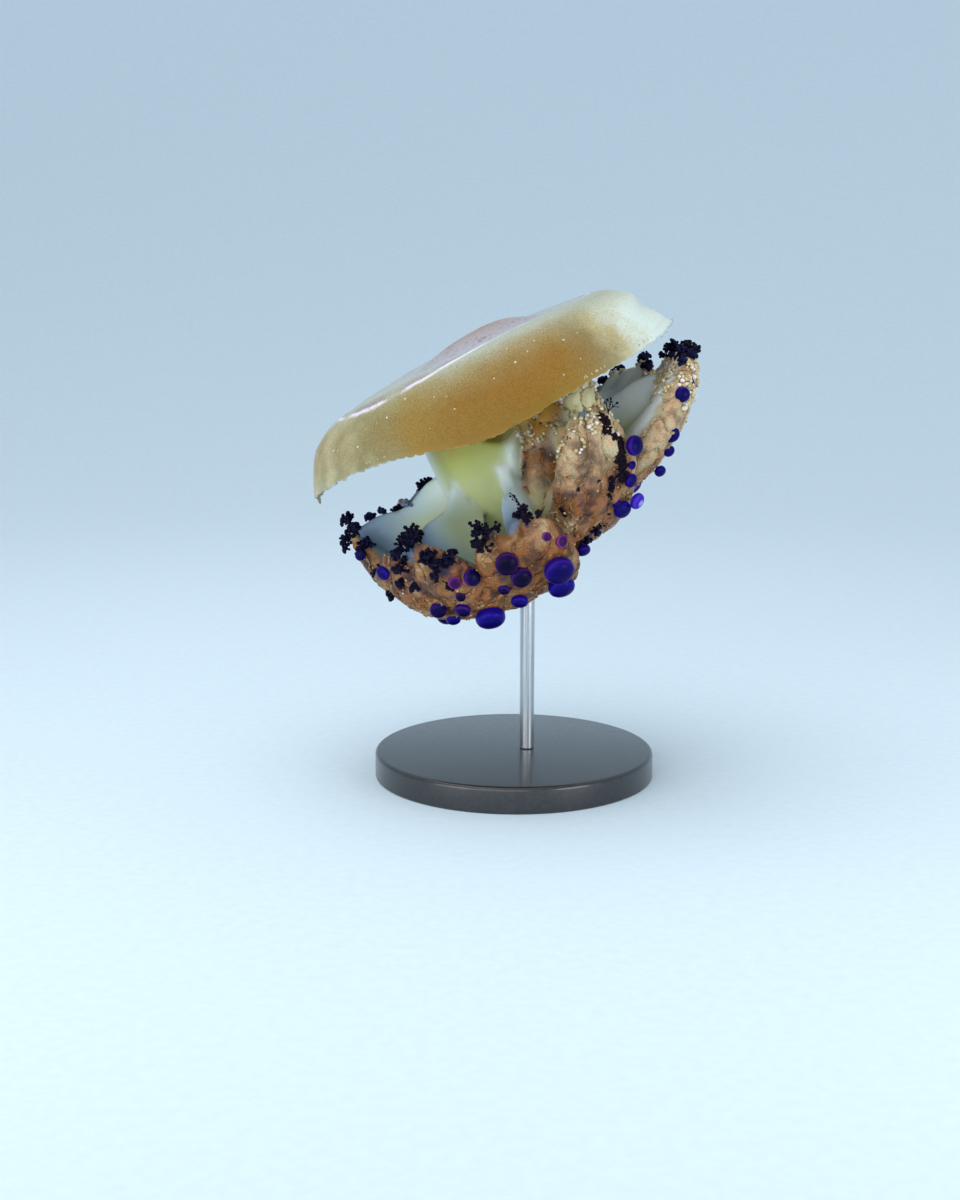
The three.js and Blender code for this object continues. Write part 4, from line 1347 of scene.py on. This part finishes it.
def build_stage(stage):
    """A pale round sweep, soft lamps round it and the camera a little above the bell's margin."""
    arc = np.linspace(0, math.pi / 2, 20)
    curve = [(FLAT + SWEEP * math.sin(turn), SWEEP - SWEEP * math.cos(turn)) for turn in arc]
    sweep = spun("stage_sweep", [(0, 0), (0.45, 0), *curve], 96)
    select(sweep)
    bpy.ops.object.mode_set(mode="EDIT")
    bpy.ops.mesh.select_all(action="SELECT")
    bpy.ops.mesh.normals_make_consistent(inside=True)
    bpy.ops.object.mode_set(mode="OBJECT")
    sweep.data.polygons.foreach_set("use_smooth", [True] * len(sweep.data.polygons))
    sweep.data.materials.append(painted_backdrop(stage))

    middle = Vector(MARGIN_CENTRE * MM)
    for name, offset, size, share, tint in LAMPS:
        place = middle + Vector(offset)
        aim = (middle - place).to_track_quat("-Z", "Y").to_euler()
        bpy.ops.object.light_add(type="AREA", location=place, rotation=aim)
        lamp = bpy.context.object
        lamp.name = name
        lamp.data.size = size
        lamp.data.spread = LAMP_SPREAD
        lamp.data.energy = stage.lamp_power * share
        lamp.data.color = tint
        lamp.visible_camera = False
    world = bpy.data.worlds.new("soft_room")
    world.use_nodes = True
    feed(world.node_tree.nodes["Background"], {"Color": linear("#f0f5fa"), "Strength": ROOM_LIGHT})
    bpy.context.scene.world = world

    back, up = math.cos(CAMERA_RISE) * stage.distance, math.sin(CAMERA_RISE) * stage.distance
    place = middle + Vector((CAMERA_ASIDE, -back, up))
    pitch = math.pi / 2 - CAMERA_RISE - DROP_IN_FRAME
    bpy.ops.object.camera_add(location=place, rotation=(pitch, 0, 0))
    camera = bpy.context.object
    camera.data.lens = CAMERA_LENS
    bpy.context.scene.camera = camera
    bpy.context.scene.view_settings.view_transform = "Standard"


# ---- The add-on ----

BELL_NODES = [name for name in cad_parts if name.startswith("bell_")]
SIDE_REACH = max(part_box(name)[1].y for name in BELL_NODES)


COLOUR = {"size": 4, "min": 0, "max": 1, "subtype": "COLOR"}


class BellSettings(bpy.types.PropertyGroup):
    radius: FloatProperty(
        name="Bell radius", description="From the middle of the bell to its margin; all the animal follows",
        default=SIDE_REACH / SIDE_SWELL, min=0.02, max=0.2, unit="LENGTH",
    )
    dome_colour: FloatVectorProperty(
        name="Dome", description="Colour of the top of the dome", default=linear("#97806c"), **COLOUR
    )
    flank_colour: FloatVectorProperty(
        name="Flank", description="Colour of the bell's flank", default=linear("#7f5e12"), **COLOUR
    )
    thin_colour: FloatVectorProperty(
        name="Thin flank", description="Colour of the flank where its jelly is thin",
        default=linear("#857b54"), **COLOUR,
    )
    deep_colour: FloatVectorProperty(
        name="Over the stem", description="Colour of the flank where the stem lies behind it",
        default=linear("#855b0e"), **COLOUR,
    )
    edge_colour: FloatVectorProperty(
        name="Margin", description="Colour of the thin margin", default=linear("#d2dfd6"), **COLOUR
    )


class ArmSettings(bpy.types.PropertyGroup):
    skin_grain: FloatProperty(
        name="Skin grain", description="Size of the smallest fold that the skin keeps",
        default=0.956 * MM, min=0.4 * MM, max=3 * MM, unit="LENGTH", precision=5,
    )
    frill_height: FloatProperty(
        name="Frill height", description="How far the frill leaves stand up",
        default=1 * MM, min=0.3 * MM, max=4 * MM, unit="LENGTH", precision=5,
    )
    knob_size: FloatProperty(
        name="Knob size", description="Width of a sprig's knobs",
        default=1 * MM, min=0.4 * MM, max=3 * MM, unit="LENGTH", precision=5,
    )
    stem_colour: FloatVectorProperty(
        name="Stem", description="Colour of the foot of the stem", default=linear("#c2ca98"), **COLOUR
    )
    tip_colour: FloatVectorProperty(
        name="Blade tips", description="Colour of the blades at the tips of the arms",
        default=linear("#4c6084"), **COLOUR,
    )
    cream_colour: FloatVectorProperty(
        name="Frill edges", description="Colour of the frills' ruffled edges",
        default=linear("#c8b894"), **COLOUR,
    )
    sprig_colour: FloatVectorProperty(
        name="Sprigs", description="Colour of the dark sprigs", default=linear("#0c0a20"), **COLOUR
    )
    button_colour: FloatVectorProperty(
        name="Buttons", description="Colour of the brightest buttons", default=linear("#08004e"), **COLOUR
    )


class StandSettings(bpy.types.PropertyGroup):
    base_colour: FloatVectorProperty(
        name="Base", description="Colour of the stand's base", default=linear("#232428"), **COLOUR
    )
    rod_colour: FloatVectorProperty(
        name="Rod", description="Colour of the stand's rod", default=linear("#c9ccd0"), **COLOUR
    )


class StageSettings(bpy.types.PropertyGroup):
    floor_colour: FloatVectorProperty(
        name="Floor", description="Colour of the floor and backdrop", default=linear("#d9ebf7"), **COLOUR
    )
    lamp_power: FloatProperty(
        name="Lamp power", description="Power of the strongest lamp",
        default=3.1, min=0, max=200, unit="POWER",
    )
    distance: FloatProperty(
        name="Camera distance", description="From the camera to the middle of the bell's margin",
        default=0.5, min=0.2, max=3, unit="LENGTH",
    )


class JELLY_OT_skin(bpy.types.Operator):
    """Build the one skin over the bell, the stem, the blades and the lobes"""

    bl_idname = "jelly.skin"
    bl_label = "Skin"

    def execute(self, context):
        build_skin(context.scene.jelly_bell, context.scene.jelly_arms)
        return {"FINISHED"}


class JELLY_OT_margin(bpy.types.Operator):
    """Build the bell's thin margin with its tongues and fingers"""

    bl_idname = "jelly.margin"
    bl_label = "Margin"

    def execute(self, context):
        build_margin(context.scene.jelly_bell)
        return {"FINISHED"}


class JELLY_OT_specks(bpy.types.Operator):
    """Scatter the pale grains over the bell"""

    bl_idname = "jelly.specks"
    bl_label = "Specks"

    def execute(self, context):
        build_specks()
        return {"FINISHED"}


class JELLY_OT_frills(bpy.types.Operator):
    """Stand the ruffled leaves along the folds of the lobes"""

    bl_idname = "jelly.frills"
    bl_label = "Frills"

    def execute(self, context):
        build_frills(context.scene.jelly_arms)
        return {"FINISHED"}


class JELLY_OT_granules(bpy.types.Operator):
    """Lay the milky granules on the frills"""

    bl_idname = "jelly.granules"
    bl_label = "Granules"

    def execute(self, context):
        build_granules()
        return {"FINISHED"}


class JELLY_OT_sprigs(bpy.types.Operator):
    """Grow the navy sprigs at the tips and edges of the lobes"""

    bl_idname = "jelly.sprigs"
    bl_label = "Sprigs"

    def execute(self, context):
        build_sprigs(context.scene.jelly_arms)
        return {"FINISHED"}


class JELLY_OT_buttons(bpy.types.Operator):
    """Set the violet buttons on the lobes"""

    bl_idname = "jelly.buttons"
    bl_label = "Buttons"

    def execute(self, context):
        build_buttons(context.scene.jelly_arms)
        return {"FINISHED"}


class JELLY_OT_stand(bpy.types.Operator):
    """Give the stand's base and rod their finish"""

    bl_idname = "jelly.stand"
    bl_label = "Stand"

    def execute(self, context):
        build_stand(context.scene.jelly_stand)
        return {"FINISHED"}


class JELLY_OT_stage(bpy.types.Operator):
    """Set up the sweep, the lamps and the camera"""

    bl_idname = "jelly.stage"
    bl_label = "Stage"

    def execute(self, context):
        build_stage(context.scene.jelly_stage)
        return {"FINISHED"}


GROUPS = {
    "jelly_bell": BellSettings,
    "jelly_arms": ArmSettings,
    "jelly_stand": StandSettings,
    "jelly_stage": StageSettings,
}
STEPS = (
    JELLY_OT_skin, JELLY_OT_margin, JELLY_OT_specks, JELLY_OT_frills, JELLY_OT_granules,
    JELLY_OT_sprigs, JELLY_OT_buttons, JELLY_OT_stand, JELLY_OT_stage,
)


class JELLY_PT_panel(bpy.types.Panel):
    """The jellyfish's settings, and a button for each of its pieces"""

    bl_idname = "JELLY_PT_panel"
    bl_label = "Fried-egg jellyfish"
    bl_space_type = "VIEW_3D"
    bl_region_type = "UI"
    bl_category = "Jellyfish"

    def draw(self, context):
        for name, group in GROUPS.items():
            box = self.layout.box()
            for key in group.__annotations__:
                box.prop(getattr(context.scene, name), key)
        for step in STEPS:
            self.layout.operator(step.bl_idname)


def register():
    for group in GROUPS.values():
        bpy.utils.register_class(group)
    for name, group in GROUPS.items():
        setattr(bpy.types.Scene, name, PointerProperty(type=group))
    for step in (*STEPS, JELLY_PT_panel):
        bpy.utils.register_class(step)


def unregister():
    for step in (JELLY_PT_panel, *reversed(STEPS)):
        bpy.utils.unregister_class(step)
    for name, group in reversed(GROUPS.items()):
        delattr(bpy.types.Scene, name)
        bpy.utils.unregister_class(group)


def main():
    register()
    bpy.ops.jelly.skin()
    bpy.ops.jelly.margin()
    bpy.ops.jelly.specks()
    bpy.ops.jelly.frills()
    bpy.ops.jelly.granules()
    bpy.ops.jelly.sprigs()
    bpy.ops.jelly.buttons()
    bpy.ops.jelly.stand()
    bpy.ops.jelly.stage()


if __name__ == "__main__":
    main()
